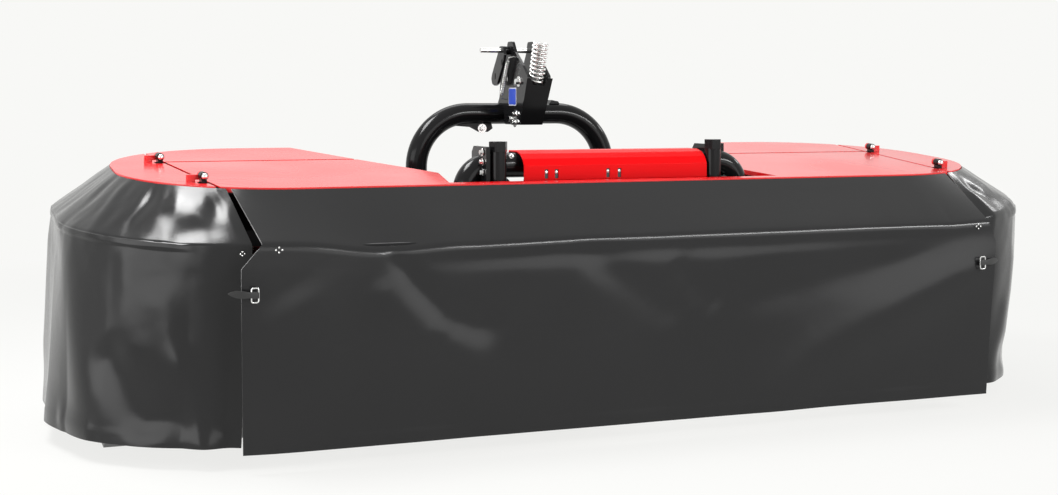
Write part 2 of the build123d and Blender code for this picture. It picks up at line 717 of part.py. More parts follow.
def knives():
    pair = Part()
    top = DISC_Z - SEAT
    for side in (-1, 1):
        outer = TIP_R - KNIFE_WIDTH / 2
        corners = [
            (KNIFE_ROOT, -KNIFE_WIDTH / 2),
            (outer, -KNIFE_WIDTH / 2),
            (TIP_R - 1.0, 0.0),
            (outer + 8.0, KNIFE_WIDTH / 2),
            (KNIFE_ROOT, KNIFE_WIDTH / 2),
        ]
        blade = flat([(side * x, y) for x, y in corners], top - KNIFE_THICK, top)
        blade -= Pos(side * KNIFE_BOLT_AT, 0, top) * Cylinder(KNIFE_BOLT_R + SEAT, 4 * KNIFE_THICK)
        pair += blade
    return pair


def drum():
    base = DISC_Z + RIM_THICK
    inner_base, inner_top = DRUM_BASE_R - DRUM_WALL, DRUM_TOP_R - DRUM_WALL
    profile = [
        (DRUM_BASE_R, base),
        (DRUM_TOP_R, DRUM_TOP_Z),
        (0.0, DRUM_TOP_Z),
        (0.0, DRUM_TOP_Z - DRUM_WALL),
        (inner_top, DRUM_TOP_Z - DRUM_WALL),
        (inner_base, base),
    ]
    shell = revolve(Plane.XZ * Polygon(*profile, align=None), axis=Axis.Z)
    for angle in (0, 120, 240):
        rib_profile = [
            (DRUM_BASE_R - 2.0, base),
            (DRUM_BASE_R + DRUM_RIB, base),
            (DRUM_TOP_R + DRUM_RIB, DRUM_TOP_Z - 30.0),
            (DRUM_TOP_R - 2.0, DRUM_TOP_Z - 12.0),
        ]
        face = Plane.XZ * Polygon(*rib_profile, align=None)
        shell += Rot(0, 0, angle) * extrude(face, amount=5.0, both=True)
    return shell


drum_shaft = Pos(0, 0, DRUM_TOP_Z + 22.0) * Cylinder(DRUM_SHAFT_R, 44.0)
for i, x in enumerate(DISC_X):
    phase = 90 * (i % 2)
    place = Pos(x, DISC_Y, 0) * Rot(0, 0, phase)
    keep(f"disc_{i + 1}", place * disc())
    keep(f"knives_{i + 1}", place * knives())
keep("drum_1", Pos(DISC_X[0], DISC_Y, 0) * (drum() + drum_shaft))
keep("drum_6", Pos(DISC_X[-1], DISC_Y, 0) * drum())

# ---------------------------------------------------------------- drive
side_x = DISC_X[0]


def gearbox(x):
    body = block(
        (x - GEARBOX_HALF, x + GEARBOX_HALF),
        (DISC_Y - GEARBOX_HALF, DISC_Y + GEARBOX_HALF),
        (GEARBOX_BOTTOM, GEARBOX_TOP),
    )
    body = fillet(body.edges().filter_by(Axis.Z), 24.0)
    return chamfer(body.faces().sort_by(Axis.Z)[-1].edges(), 8.0)


side_box = gearbox(side_x)
side_box += Pos(side_x, DISC_Y, GEARBOX_BOTTOM - 6.0) * Cylinder(52.0, 12.0)
side_box -= Pos(side_x, DISC_Y, DRUM_TOP_Z + 22.0) * Cylinder(DRUM_SHAFT_R + RUNNING, 46.0)
side_box += Pos(side_x, DISC_Y, GEARBOX_TOP + 5.0) * Cylinder(44.0, 10.0)
keep("gearboxes", side_box + gearbox(0.0))
tube_span = (side_x + GEARBOX_HALF, -GEARBOX_HALF)
drive_tube = rod(DRIVE_TUBE_R, (tube_span[0], DISC_Y, DRIVE_Z), (tube_span[1], DISC_Y, DRIVE_Z))
for x, way in ((tube_span[0], 1), (tube_span[1], -1)):
    drive_tube += rod(DRIVE_TUBE_R + 18.0, (x, DISC_Y, DRIVE_Z), (x + way * 12.0, DISC_Y, DRIVE_Z))
housing = rod(INPUT_HOUSING_R, (0, DISC_Y + GEARBOX_HALF, DRIVE_Z), (0, INPUT_HOUSING_END_Y, DRIVE_Z))
housing += rod(INPUT_HOUSING_R + 14.0, (0, DISC_Y + GEARBOX_HALF, DRIVE_Z), (0, DISC_Y + GEARBOX_HALF + 12.0, DRIVE_Z))
housing -= rod(
    STUB_JOURNAL_R + RUNNING,
    (0, INPUT_HOUSING_END_Y - STUB_INSIDE - 1.0, DRIVE_Z),
    (0, INPUT_HOUSING_END_Y + 1.0, DRIVE_Z),
)
keep("drive_housings", drive_tube + housing)
stub = rod(STUB_R, (0, INPUT_HOUSING_END_Y, DRIVE_Z), (0, INPUT_HOUSING_END_Y + STUB_LENGTH, DRIVE_Z))
stub += rod(STUB_JOURNAL_R, (0, INPUT_HOUSING_END_Y - STUB_INSIDE, DRIVE_Z), (0, INPUT_HOUSING_END_Y, DRIVE_Z))
keep("input_shaft", stub)
cone = rod(CONE_R, (0, INPUT_HOUSING_END_Y - 24.0, DRIVE_Z), (0, CONE_END_Y, DRIVE_Z))
cone -= rod(CONE_R - 4.0, (0, INPUT_HOUSING_END_Y, DRIVE_Z), (0, CONE_END_Y + 1.0, DRIVE_Z))
cone -= rod(INPUT_HOUSING_R, (0, DISC_Y, DRIVE_Z), (0, INPUT_HOUSING_END_Y + 1.0, DRIVE_Z))
keep("shaft_guard", cone)

carriers = Part()
for x in (side_x, 0.0):
    profile = [
        (DISC_Y - 40.0, GEARBOX_TOP + 10.0),
        (BEAM_Y[0], GEARBOX_TOP + 10.0),
        (BEAM_Y[0], GEARBOX_TOP + 60.0),
        (DISC_Y - 40.0, GEARBOX_TOP + 22.0),
    ]
    carriers += slab(profile, (x - 50.0, x + 50.0))
carriers += Pos(0, DISC_Y, GEARBOX_TOP + 5.0) * Cylinder(44.0, 10.0)
keep("main_beam", main_beam + uprights + carriers)

# ---------------------------------------------------------------- front beam
corner = FRONT_BEAM_CORNER_X
beam_points = [
    (-corner, BEAM_Y[0], FRONT_BEAM_REAR_Z),
    (-corner, FRONT_BEAM_Y, FRONT_BEAM_REAR_Z),
    (-corner, FRONT_BEAM_Y, FRONT_BEAM_Z),
    (corner, FRONT_BEAM_Y, FRONT_BEAM_Z),
    (corner, FRONT_BEAM_Y, FRONT_BEAM_REAR_Z),
    (corner, BEAM_Y[0], FRONT_BEAM_REAR_Z),
]
beam_path = FilletPolyline(*beam_points, radius=FRONT_BEAM_BEND)
beam_tube = sweep(Plane(origin=beam_path @ 0, z_dir=beam_path % 0) * Circle(TUBE_R), path=beam_path)
rear_and_foot = [
    (BRACKET_Y[1] - 14.0, BRACKET_Z[1]),
    (BRACKET_Y[1], BRACKET_Z[1] - 14.0),
    (BRACKET_Y[1], BRACKET_Z[0] + 16.0),
    (BRACKET_Y[1] - 20.0, BRACKET_Z[0]),
    (BRACKET_Y[0] + 30.0, BRACKET_Z[0]),
    (BRACKET_Y[0], BRACKET_Z[0] + 20.0),
]
wide = [(BRACKET_Y[0], BRACKET_Z[1]), *rear_and_foot]
narrow = [(BRACKET_STEP[1][0], BRACKET_Z[1]), *rear_and_foot, *BRACKET_STEP]
plates = Part()
for x, bracket_profile in (
    (-BRACKET_X[1] - BRACKET_THICK, wide),
    (-BRACKET_X[0] - BRACKET_THICK, narrow),
    (BRACKET_X[0], wide),
    (BRACKET_X[1], narrow),
):
    plates += slab(bracket_profile, (x, x + BRACKET_THICK))
arm_bore = rod(ARM_PIN_R, (-FAR, *ARM_FRONT), (FAR, *ARM_FRONT))

post_y = FRONT_BEAM_Y - TUBE_R - POST_R - SEAT
posts = Part()
for x in POST_X:
    posts += rod(POST_R, (x, post_y, POST_BOTTOM_Z), (x, post_y, POST_TOP_Z))
    posts += Pos(x, post_y, POST_TOP_Z + POST_CAP / 2) * extrude(
        RegularPolygon(POST_CAP_R, 6), amount=POST_CAP / 2, both=True
    )
spacer = block(
    (BRACKET_X[0] + BRACKET_THICK, BRACKET_X[1]), (post_y - 10.0, post_y + 10.0), (POST_BOTTOM_Z + 20.0, POST_BOTTOM_Z + 40.0)
)
keep("front_beam", beam_tube + (plates - arm_bore) + both(spacer) + posts)

fold = BEAM_COVER_FOLD
crest = BEAM_COVER_TOP
profile = [
    (fold[0], BEAM_COVER_BOTTOM_Z),
    fold,
    *BEAM_COVER_ROUND,
    crest,
    (BEAM_COVER_REAR_Y, crest[1]),
    (BEAM_COVER_REAR_Y, crest[1] - 40.0),
    (BEAM_COVER_REAR_Y - SHEET, crest[1] - 40.0),
    (BEAM_COVER_REAR_Y - SHEET, crest[1] - SHEET),
    (crest[0] + 0.5, crest[1] - SHEET),
    *[(y + 0.6 * SHEET, z - 0.8 * SHEET) for y, z in BEAM_COVER_ROUND[::-1]],
    (fold[0] + SHEET, fold[1] - 0.5),
    (fold[0] + SHEET, BEAM_COVER_BOTTOM_Z),
]
beam_cover = slab(profile, BEAM_COVER_X)
for x in ((SLOT_X[0] + SLOT_X[1]) / 2, (SLOT_X[2] + SLOT_X[3]) / 2):
    seat = block((x - 30.0, x + 30.0), (fold[0] + SHEET, FRONT_BEAM_Y), (BEAM_COVER_BOTTOM_Z, fold[1] - 2.0))
    beam_cover += seat
beam_cover -= rod(TUBE_R, (-FAR, FRONT_BEAM_Y, FRONT_BEAM_Z), (FAR, FRONT_BEAM_Y, FRONT_BEAM_Z))
for x in SLOT_X:
    beam_cover -= block(
        (x - SLOT[0] / 2, x + SLOT[0] / 2), (fold[0] - 1.0, fold[0] + SHEET), (SLOT_Z - SLOT[1] / 2, SLOT_Z + SLOT[1] / 2)
    )
keep("beam_cover", beam_cover)

# ---------------------------------------------------------------- headstock
arch_points = [
    (-ARCH_X, ARCH_Y, CROSS_Z[1]),
    (-ARCH_X, ARCH_Y, ARCH_TOP_Z),
    (ARCH_X, ARCH_Y, ARCH_TOP_Z),
    (ARCH_X, ARCH_Y, CROSS_Z[1]),
]
arch_path = FilletPolyline(*arch_points, radius=ARCH_BEND)
arch = sweep(Plane(origin=arch_path @ 0, z_dir=arch_path % 0) * Circle(TUBE_R), path=arch_path)
keep("arch", arch)

cross = block((-CROSS_HALF, CROSS_HALF), CROSS_Y, CROSS_Z)
hitch_profile = [
    (CROSS_Y[0], CROSS_Z[0]),
    (CROSS_Y[1], CROSS_Z[0]),
    (HITCH_Y, HITCH_Z - HITCH_PLATE_R),
    (HITCH_Y, HITCH_Z + HITCH_PLATE_R),
    (CROSS_Y[1], CROSS_Z[1] + 24.0),
    (CROSS_Y[0], CROSS_Z[1] + 24.0),
]
hitch_span = (CROSS_HALF, CROSS_HALF + HITCH_PLATE)
hitch = slab(hitch_profile, hitch_span)
hitch += rod(HITCH_PLATE_R, (hitch_span[0], HITCH_Y, HITCH_Z), (hitch_span[1], HITCH_Y, HITCH_Z))
hitch_pin = rod(
    HITCH_PIN_R, (hitch_span[0], HITCH_Y, HITCH_Z), (hitch_span[1] + HITCH_PIN_LENGTH, HITCH_Y, HITCH_Z)
)
hitch_pin += rod(
    HITCH_COLLAR_R, (hitch_span[1], HITCH_Y, HITCH_Z), (hitch_span[1] + HITCH_COLLAR, HITCH_Y, HITCH_Z)
)
keep("hitch_pins", both(hitch_pin))
cross += both(hitch) - both(rod(HITCH_PIN_R, (hitch_span[0], HITCH_Y, HITCH_Z), (hitch_span[1], HITCH_Y, HITCH_Z)))

# brackets for the pull arms, stop links and stands on the cross tube
arm_bracket = Part()
for x in (ARM_X - 34.0, ARM_X + 24.0):
    corners = [
        (CROSS_Y[0], CROSS_Z[0] + 20.0),
        (CROSS_Y[0], CROSS_Z[1] + 30.0),
        (ARM_REAR[0] + 12.0, ARM_REAR[1] + ARM_EYE_R),
        (ARM_REAR[0] - ARM_EYE_R, ARM_REAR[1] + 12.0),
        (ARM_REAR[0] - ARM_EYE_R, ARM_REAR[1] - 20.0),
    ]
    arm_bracket += slab(corners, (x, x + 10.0))
arm_rear_bore = rod(ARM_PIN_R, (0, *ARM_REAR), (FAR, *ARM_REAR))
cross += both(arm_bracket - arm_rear_bore)
stand_lugs = Part()
for side in (-1, 1):
    inner = STAND_X + side * (STAND_TUBE / 2 + SEAT)
    span = sorted((inner, inner + side * STAND_LUG_THICK))
    corners = [(CROSS_Y[0] + 10, CROSS_Z[0]), (CROSS_Y[1] - 10, CROSS_Z[0]), (STAND_Y + 18, STAND_Z - 18), (STAND_Y - 18, STAND_Z - 18)]
    stand_lugs += slab(corners, span)
stand_reach = STAND_TUBE / 2 + STAND_LUG_THICK + 6.0
stand_pin = rod(STAND_PIN_R, (STAND_X - stand_reach, STAND_Y, STAND_Z), (STAND_X + stand_reach, STAND_Y, STAND_Z))
cross += both(stand_lugs - stand_pin)
keep("cross_tube", cross)

foot_y = STAND_Y + STAND_FOOT_OFFSET
leg_profile = [
    (STAND_Y - STAND_TUBE / 2, STAND_Z),
    (STAND_Y + STAND_TUBE / 2, STAND_Z),
    (foot_y + STAND_TUBE / 2, STAND_FOOT_THICK),
    (foot_y - STAND_TUBE / 2, STAND_FOOT_THICK),
]
stand = slab(leg_profile, (STAND_X - STAND_TUBE / 2, STAND_X + STAND_TUBE / 2))
stand += rod(STAND_TUBE / 2, (STAND_X - STAND_TUBE / 2, STAND_Y, STAND_Z), (STAND_X + STAND_TUBE / 2, STAND_Y, STAND_Z))
stand += block(
    (STAND_X - STAND_FOOT / 2, STAND_X + STAND_FOOT / 2),
    (foot_y - STAND_FOOT / 2, foot_y + STAND_FOOT / 2),
    (0.0, STAND_FOOT_THICK),
)
stand -= rod(STAND_PIN_R + RUNNING, (0, STAND_Y, STAND_Z), (FAR, STAND_Y, STAND_Z))
keep("stand_right", stand)
keep("stand_left", left(stand))

# head: two side plates on the arch, a leaning front plate, the spring's seat and the lever
head_profile = [
    (HEAD_FACE[0][0] + 4.0, HEAD_BOTTOM_Z),
    (HEAD_FACE[1][0] + 4.0, 840.0),
    (123.0, 872.0),
    (183.0, 911.0),
    (206.0, 941.0),
    (241.0, 941.0),
    (253.0, 907.0),
    (286.0, 862.0),
    (302.0, 832.0),
    (309.0, 785.0),
    (328.0, 762.0),
    (ARCH_Y, ARCH_TOP_Z),
    (262.0, HEAD_BOTTOM_Z),
]
head = both(slab(head_profile, (HEAD_HALF - HEAD_PLATE, HEAD_HALF), PLATE_SOFT))
low, high = Vector(0, *HEAD_FACE[0]), Vector(0, *HEAD_FACE[1])
face_plane = Plane(origin=low, x_dir=(1, 0, 0), z_dir=(high - low).cross(Vector(1, 0, 0)))
face_length = (high - low).length
low_half, high_half = HEAD_FACE_HALF
notch_half, notch_depth = 24.0, 22.0
face_corners = [
    (-low_half, 0.0),
    (low_half, 0.0),
    (high_half, face_length),
    (notch_half, face_length),
    (notch_half - 8.0, face_length - notch_depth),
    (-notch_half + 8.0, face_length - notch_depth),
    (-notch_half, face_length),
    (-high_half, face_length),
]
face = face_plane * Polygon(*[(x, -y) for x, y in face_corners], align=None)
head += extrude(face, amount=HEAD_PLATE, dir=(0, 1, 0))
foot, top = Vector(0, *SPRING_FOOT), Vector(0, *SPRING_HEAD)
spring_run = (top - foot).normalized()
seat_low = foot - spring_run * (SPRING_SEAT + SEAT)
seat = Plane(origin=seat_low, x_dir=(1, 0, 0), z_dir=spring_run) * Box(
    2 * HEAD_HALF, 44.0, SPRING_SEAT, align=(Align.CENTER, Align.CENTER, Align.MIN)
)
head += seat & slab(head_profile, (-HEAD_HALF, HEAD_HALF))
head -= arch
head -= rod(TOP_LINK_R, (-100.0, TOP_LINK_Y, TOP_LINK_Z), (100.0, TOP_LINK_Y, TOP_LINK_Z))
lever_profile = [
    (212.0, 928.0),
    (242.0, 928.0),
    (260.0, 904.0),
    (286.0, 874.0),
    (306.0, 850.0),
    (312.0, 837.0),
    (304.0, 822.0),
    (283.0, 817.0),
    (262.0, 823.0),
    (240.0, 850.0),
    (220.0, 872.0),
    (206.0, 902.0),
]
lever = slab(lever_profile, LEVER_X, PLATE_SOFT) + rod(LEVER_BOSS_R, (LEVER_X[0], *LATCH_ROD), (-HEAD_HALF, *LATCH_ROD))
for y, z in LEVER_SLOTS:
    lever -= slab([(y - 3.5, z - 8.0), (y + 3.5, z - 11.0), (y + 3.5, z + 6.0), (y - 3.5, z + 9.0)], LEVER_X)
latch_rod = rod(LATCH_ROD_R, (LATCH_ROD_X[0], *LATCH_ROD), (LATCH_ROD_X[1], *LATCH_ROD))
keep("head", (head + lever) - latch_rod)
sleeve = rod(SPRING_R, foot, top) - rod(SPRING_R - SPRING_WALL, foot - spring_run, top + spring_run)
keep("head_spring", sleeve)
keep("head_rods", latch_rod + rod(SPRING_ROD_R, foot - spring_run * SEAT, top - spring_run * 4.0))

# pull arms, with their pins
front_eye = (ARM_X, *ARM_FRONT)
rear_eye = (ARM_X, *ARM_REAR)
arm = rod(ARM_R, front_eye, rear_eye)
for eye in (front_eye, rear_eye):
    arm += rod(ARM_EYE_R, (ARM_X - 22.0, *eye[1:]), (ARM_X + 22.0, *eye[1:]))
    arm -= rod(ARM_PIN_R, (0, *eye[1:]), (FAR, *eye[1:]))
pull_arms = both(arm)
arm_pins = rod(ARM_PIN_R, (BRACKET_X[0], *ARM_FRONT), (BRACKET_X[1] + BRACKET_THICK, *ARM_FRONT))
arm_pins += rod(ARM_PIN_R, (ARM_X - 34.0, *ARM_REAR), (ARM_X + 34.0, *ARM_REAR))
keep("hinge_pins", guard_pins + both(arm_pins + stand_pin))

# stop links from the arch's foot to the main beam
link_profile = [
    (BEAM_Y[1], BEAM_Z[0] + 14.0),
    (BEAM_Y[1], BEAM_Z[1] - 18.0),
    (CROSS_Y[0] + 52.0, CROSS_Z[1] + 22.0),
    (CROSS_Y[0] + 52.0, CROSS_Z[1]),
    (CROSS_Y[0] + 6.0, CROSS_Z[1]),
]
keep("pull_arms", pull_arms + both(slab(link_profile, (LINK_X, LINK_X + LINK_THICK))))

# ---------------------------------------------------------------- swath boards
board_run = Vector(*BOARD_REAR) - Vector(*BOARD_FRONT)
board_side = Vector(board_run.Y, -board_run.X).normalized() * BOARD_THICK
board = flat(
    [
        BOARD_FRONT,
        BOARD_REAR,
        (BOARD_REAR[0] + board_side.X, BOARD_REAR[1] + board_side.Y),
        (BOARD_FRONT[0] + board_side.X, BOARD_FRONT[1] + board_side.Y),
    ],
    *BOARD_Z,
)
bracket = block((UPRIGHT_X[0], UPRIGHT_X[1]), (132.0, 138.0), (50.0, 104.0))
board += bracket
keep("swath_boards", both(board))

# ---------------------------------------------------------------- write
place = Pos(0, -MIDDLE_Y, 0)
for name, shape in nodes.items():
    solid = place * shape
    export_step(solid, f"parts/{name}.step")
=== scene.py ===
"""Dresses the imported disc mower: glossy black aprons, red and black paint, fixings, spring and stage.

Metres. -Y is the way it travels and +Z is up. Left and right are as seen from its front: +X is right.
"""

import json
from collections import namedtuple
from math import asin, atan2, cos, pi, radians, sin, sqrt, tau

import bmesh
import bpy
import numpy as np
from bpy.props import FloatProperty, FloatVectorProperty, IntProperty, PointerProperty
from mathutils import Matrix, Vector, noise


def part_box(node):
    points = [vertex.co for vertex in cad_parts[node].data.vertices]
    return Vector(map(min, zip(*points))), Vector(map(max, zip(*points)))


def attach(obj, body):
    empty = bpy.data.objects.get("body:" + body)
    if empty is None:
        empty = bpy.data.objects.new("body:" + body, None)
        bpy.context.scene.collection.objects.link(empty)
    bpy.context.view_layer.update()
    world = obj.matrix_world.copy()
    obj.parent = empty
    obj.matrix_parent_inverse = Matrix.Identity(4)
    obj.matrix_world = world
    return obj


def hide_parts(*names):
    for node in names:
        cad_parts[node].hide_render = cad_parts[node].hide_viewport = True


bl_info = {
    "name": "Disc mower looks",
    "version": (1, 0, 0),
    "blender": (4, 5, 0),
    "location": "3D View > Sidebar > Mower",
    "description": "Cloth aprons, paint, fixings, spring and stage for a front disc mower",
    "category": "Object",
}

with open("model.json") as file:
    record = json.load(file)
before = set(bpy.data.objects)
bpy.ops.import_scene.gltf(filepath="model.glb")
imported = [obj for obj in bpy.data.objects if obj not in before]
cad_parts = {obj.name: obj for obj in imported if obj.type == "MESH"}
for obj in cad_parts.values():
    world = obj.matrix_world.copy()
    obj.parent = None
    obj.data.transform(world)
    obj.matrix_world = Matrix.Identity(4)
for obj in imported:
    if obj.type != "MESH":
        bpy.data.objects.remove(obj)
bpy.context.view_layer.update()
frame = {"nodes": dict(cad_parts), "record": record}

# The hem of the front cloth ties the drawing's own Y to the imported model's
DRAWN_HEM_Y = -0.632
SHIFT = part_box("front_apron_skirt")[0].y - DRAWN_HEM_Y

# Cover plane, and the outlines of its rounded ends at the plates, at the bend and at the hem
COVER_TILT = radians(4.3)
COVER_FRONT_Y = -0.48
COVER_FRONT_Z = 0.586
BEND_DROP = 0.109
# The cloths' top edge lies this far under the plates' top and this far out from their edge
TOP_SET = 0.0035
TOP_GAP = 0.0025
Outline = namedtuple("Outline", "front rear side front_radius rear_radius seam_front seam_rear")
PLATE = Outline(-0.48, 0.33, 1.145, 0.36, 0.36, 0.941, 1.042)
BEND = Outline(-0.595, 0.48, 1.275, 0.5, 0.45, 0.905, 1.066)
HEM = Outline(-0.56, 0.5, 1.3, 0.42, 0.42, 0.928, 1.074)
SIDE_HEM_Z = 0.045

# Front cloth: its left and right edge at the top, bend, corner and hem. It hangs off centre.
FRONT_BEND_Y = -0.62
FRONT_TOP_X = (-0.93, 0.938)
FRONT_BEND_X = (-0.893, 0.945)
FRONT_CORNER_X = (-0.938, 0.964)
FRONT_CORNER_DROP = 0.051
FRONT_HEM_DROP = 0.43
FRONT_HEM_X = (-0.934, 0.928)
FRONT_HEM_Z = 0.04
# How far its bend rides up: (x, lift)
FRONT_LIFT = ((-0.9, 0.012), (-0.6, 0.01), (-0.42, 0.002), (0.0, 0.0), (0.84, 0.0), (0.945, 0.007))

# Where that bend sags: (x, half width, share of the full sag)
FRONT_SAGS = ((-0.63, 0.13, 1.0), (-0.38, 0.16, 0.3))

# Rear cloths: their hem, their inner edge at the top and below it, and how far they end before the seam
REAR_HEM_Z = 0.15
REAR_TOP_X = 0.644
REAR_CURTAIN_X = 0.64
REAR_SEAM = 0.014

# Mesh rows on the slope, round the bend and on the skirt
FRONT_ROWS = (18, 9, 92)
SIDE_ROWS = (16, 7, 76)
REAR_ROWS = (14, 7, 60)
# Mesh columns of a side cloth round the front corner, the side and the rear corner, and of a rear cloth
SIDE_COLUMNS = (110, 26, 66)
REAR_COLUMNS = 90
# How far from their bend the side and rear cloths start to turn
SIDE_TURN = 0.006
LIP_RISE = 0.0028
# Width of the ramp at the edge of a welded strip
RAMP = 0.0012

# A crease is a run of (along, height) points with its rise and its half width at both ends.
# It fades out at both ends of its run.
Crease = namedtuple("Crease", "run rise width")
FRONT_CREASES = (
    Crease(((-0.66, 0.425), (-0.25, 0.434), (0.3, 0.438), (0.95, 0.45)), (-0.003, -0.003), (0.022, 0.022)),
    Crease(((-0.64, 0.475), (-0.56, 0.38), (-0.49, 0.31), (-0.34, 0.26)), (-0.005, -0.0085), (0.014, 0.05)),
    Crease(((-0.66, 0.4), (-0.6, 0.33), (-0.5, 0.24)), (0.002, 0.004), (0.025, 0.06)),
    Crease(((0.1, 0.29), (0.46, 0.355), (1.05, 0.455)), (-0.0045, -0.0065), (0.065, 0.05)),
    Crease(((0.24, 0.01), (0.45, 0.165), (0.64, 0.25), (1.02, 0.42)), (0.0065, 0.0085), (0.07, 0.06)),
    Crease(((0.34, -0.06), (0.62, 0.11), (0.95, 0.23)), (-0.0045, -0.0045), (0.065, 0.08)),
    Crease(((-0.2, 0.46), (0.1, 0.262)), (-0.0042, -0.0038), (0.035, 0.055)),
    Crease(((0.05, 0.41), (0.19, 0.29)), (-0.0028, -0.0024), (0.04, 0.045)),
    Crease(((-1.0, 0.43), (-0.98, -0.05)), (-0.008, -0.018), (0.07, 0.095)),
    Crease(((-0.78, 0.14), (-0.53, 0.115), (-0.34, -0.01)), (-0.004, -0.004), (0.06, 0.065)),
    Crease(((-0.4, 0.02), (0.1, 0.14)), (-0.003, -0.003), (0.07, 0.08)),
    Crease(((-0.86, 0.38), (-0.72, 0.15)), (0.003, 0.0026), (0.09, 0.09)),
)
# Along is measured round the bend from the front seam
SIDE_CREASES = (
    Crease(((0.52, 0.5), (0.47, 0.28), (0.38, 0.02)), (0.0065, 0.006), (0.06, 0.07)),
    Crease(((0.28, 0.5), (0.255, 0.18)), (0.0045, 0.0055), (0.04, 0.044)),
    Crease(((0.21, 0.4), (0.15, 0.1)), (0.0045, 0.0065), (0.04, 0.048)),
    Crease(((0.155, 0.28), (0.065, -0.02)), (0.004, 0.0075), (0.028, 0.036)),
    Crease(((0.36, 0.26), (0.2, 0.03)), (-0.006, -0.008), (0.055, 0.055)),
    Crease(((0.03, 0.42), (0.02, -0.06)), (-0.007, -0.009), (0.03, 0.04)),
    Crease(((0.64, 0.49), (0.6, 0.02)), (-0.005, -0.005), (0.07, 0.08)),
    Crease(((0.78, 0.48), (0.86, 0.06)), (0.0055, 0.0055), (0.07, 0.08)),
    Crease(((1.05, 0.48), (1.0, 0.04)), (0.0055, 0.0045), (0.07, 0.075)),
    Crease(((0.02, 0.045), (0.3, 0.045)), (0.009, 0.008), (0.032, 0.032)),
    Crease(((0.34, 0.045), (0.56, 0.045)), (0.006, 0.0055), (0.03, 0.03)),
    Crease(((0.03, 0.57), (0.09, 0.5), (0.2, 0.475)), (-0.0045, -0.0042), (0.024, 0.026)),
    Crease(((0.0, 0.51), (0.22, 0.545)), (0.0034, 0.0034), (0.022, 0.024)),
    Crease(((0.26, 0.59), (0.3, 0.5), (0.26, 0.44)), (-0.0032, -0.0032), (0.024, 0.024)),
    Crease(((0.44, 0.59), (0.4, 0.44)), (0.0026, 0.0026), (0.026, 0.026)),
    Crease(((0.56, 0.59), (0.54, 0.44)), (-0.0022, -0.0022), (0.03, 0.03)),
)
REAR_CREASES = (
    Crease(((0.08, 0.5), (0.1, 0.1)), (0.0045, 0.005), (0.045, 0.05)),
    Crease(((0.22, 0.5), (0.2, 0.1)), (-0.0045, -0.005), (0.05, 0.05)),
    Crease(((0.36, 0.5), (0.38, 0.1)), (0.0042, 0.0045), (0.045, 0.045)),
)
# Places of the side cloths' front edge at the top, the bend and the hem
LEFT_SEAM = (PLATE.seam_front, BEND.seam_front, HEM.seam_front)
RIGHT_SEAM = (PLATE.seam_front + 0.008, BEND.seam_front + 0.098, HEM.seam_front + 0.004)
# How far their hem and bend stand off the round line, at shares of the front corner's length
LEFT_HEM = ((0.0, 0.018), (0.2, -0.006), (0.52, 0.003), (0.76, -0.014), (1.0, 0.002))
LEFT_HEM += ((1.12, -0.012), (1.6, 0.004), (2.5, 0.0))
RIGHT_HEM = ((0.0, -0.004), (0.2, -0.02), (0.45, -0.04), (0.76, -0.048))
RIGHT_HEM += ((1.0, -0.045), (1.6, -0.02), (2.5, 0.0))
LEFT_BEND = ((0.0, 0.0), (2.5, 0.0))
RIGHT_BEND = ((0.0, -0.004), (0.06, 0.012), (0.3, 0.028), (0.76, 0.032))
RIGHT_BEND += ((1.0, 0.023), (1.6, 0.012), (2.5, 0.0))


# ---------------------------------------------------------------- sizes a user would change
class MowerCloth(bpy.types.PropertyGroup):
    thickness: FloatProperty(
        name="Thickness", description="Of the coated cloth", default=0.003, unit="LENGTH", min=0.001
    )
    hem: FloatProperty(
        name="Hem", description="Width of the welded edge strips", default=0.028, unit="LENGTH", min=0.0
    )
    hem_rise: FloatProperty(
        name="Hem rise", description="How far a welded strip stands proud",
        default=0.0005, unit="LENGTH", min=0.0,
    )
    bend: FloatProperty(
        name="Bend", description="How far from the bend the cloth starts to turn",
        default=0.014, unit="LENGTH",
    )
    lip: FloatProperty(
        name="Lip", description="Height of the welded lip under the side cloths' bend",
        default=0.013, unit="LENGTH",
    )
    sag: FloatProperty(
        name="Sag", description="Droop of the front cloth's bend on its slack side",
        default=0.021, unit="LENGTH",
    )
    crease: FloatProperty(
        name="Creases", description="Strength of the creases", default=1.0, min=0.0, max=2.0
    )
    ripple: FloatProperty(
        name="Ripple", description="Height of the cloth's unevenness", default=0.0022, unit="LENGTH"
    )
    dent: FloatProperty(
        name="Dents", description="Height of the small dents on the side cloths' slope",
        default=0.0011, unit="LENGTH",
    )
    columns: IntProperty(
        name="Columns", description="Mesh columns across the front cloth", default=300, min=60
    )


class MowerColours(bpy.types.PropertyGroup):
    red: FloatVectorProperty(
        name="Red paint", description="Cover plates", subtype="COLOR", default=(0.7, 0.004, 0.006)
    )
    black: FloatVectorProperty(
        name="Black paint", description="Frame and headstock", subtype="COLOR", default=(0.007, 0.007, 0.0075)
    )
    vinyl: FloatVectorProperty(
        name="Apron cloth", description="Coated cloth", subtype="COLOR", default=(0.014, 0.014, 0.0145)
    )
    plate: FloatVectorProperty(
        name="Blue plates", description="Blank sign plates", subtype="COLOR", default=(0.01, 0.05, 0.42)
    )
    floor: FloatVectorProperty(
        name="Floor", description="Floor and backdrop", subtype="COLOR", default=(0.939, 0.939, 0.922)
    )


class MowerFixings(bpy.types.PropertyGroup):
    rivet: FloatProperty(
        name="Rivet", description="Head radius of a cloth rivet", default=0.0021, unit="LENGTH"
    )
    wire: FloatProperty(
        name="Spring wire", description="Wire diameter of the spring", default=0.0062, unit="LENGTH"
    )
    coil: FloatProperty(
        name="Spring radius", description="Mean radius of the spring", default=0.0198, unit="LENGTH"
    )
    turns: FloatProperty(name="Spring turns", description="Number of turns", default=9.5, min=2.0)
    seed: IntProperty(name="Seed", description="Turns the bolt heads at random", default=7)


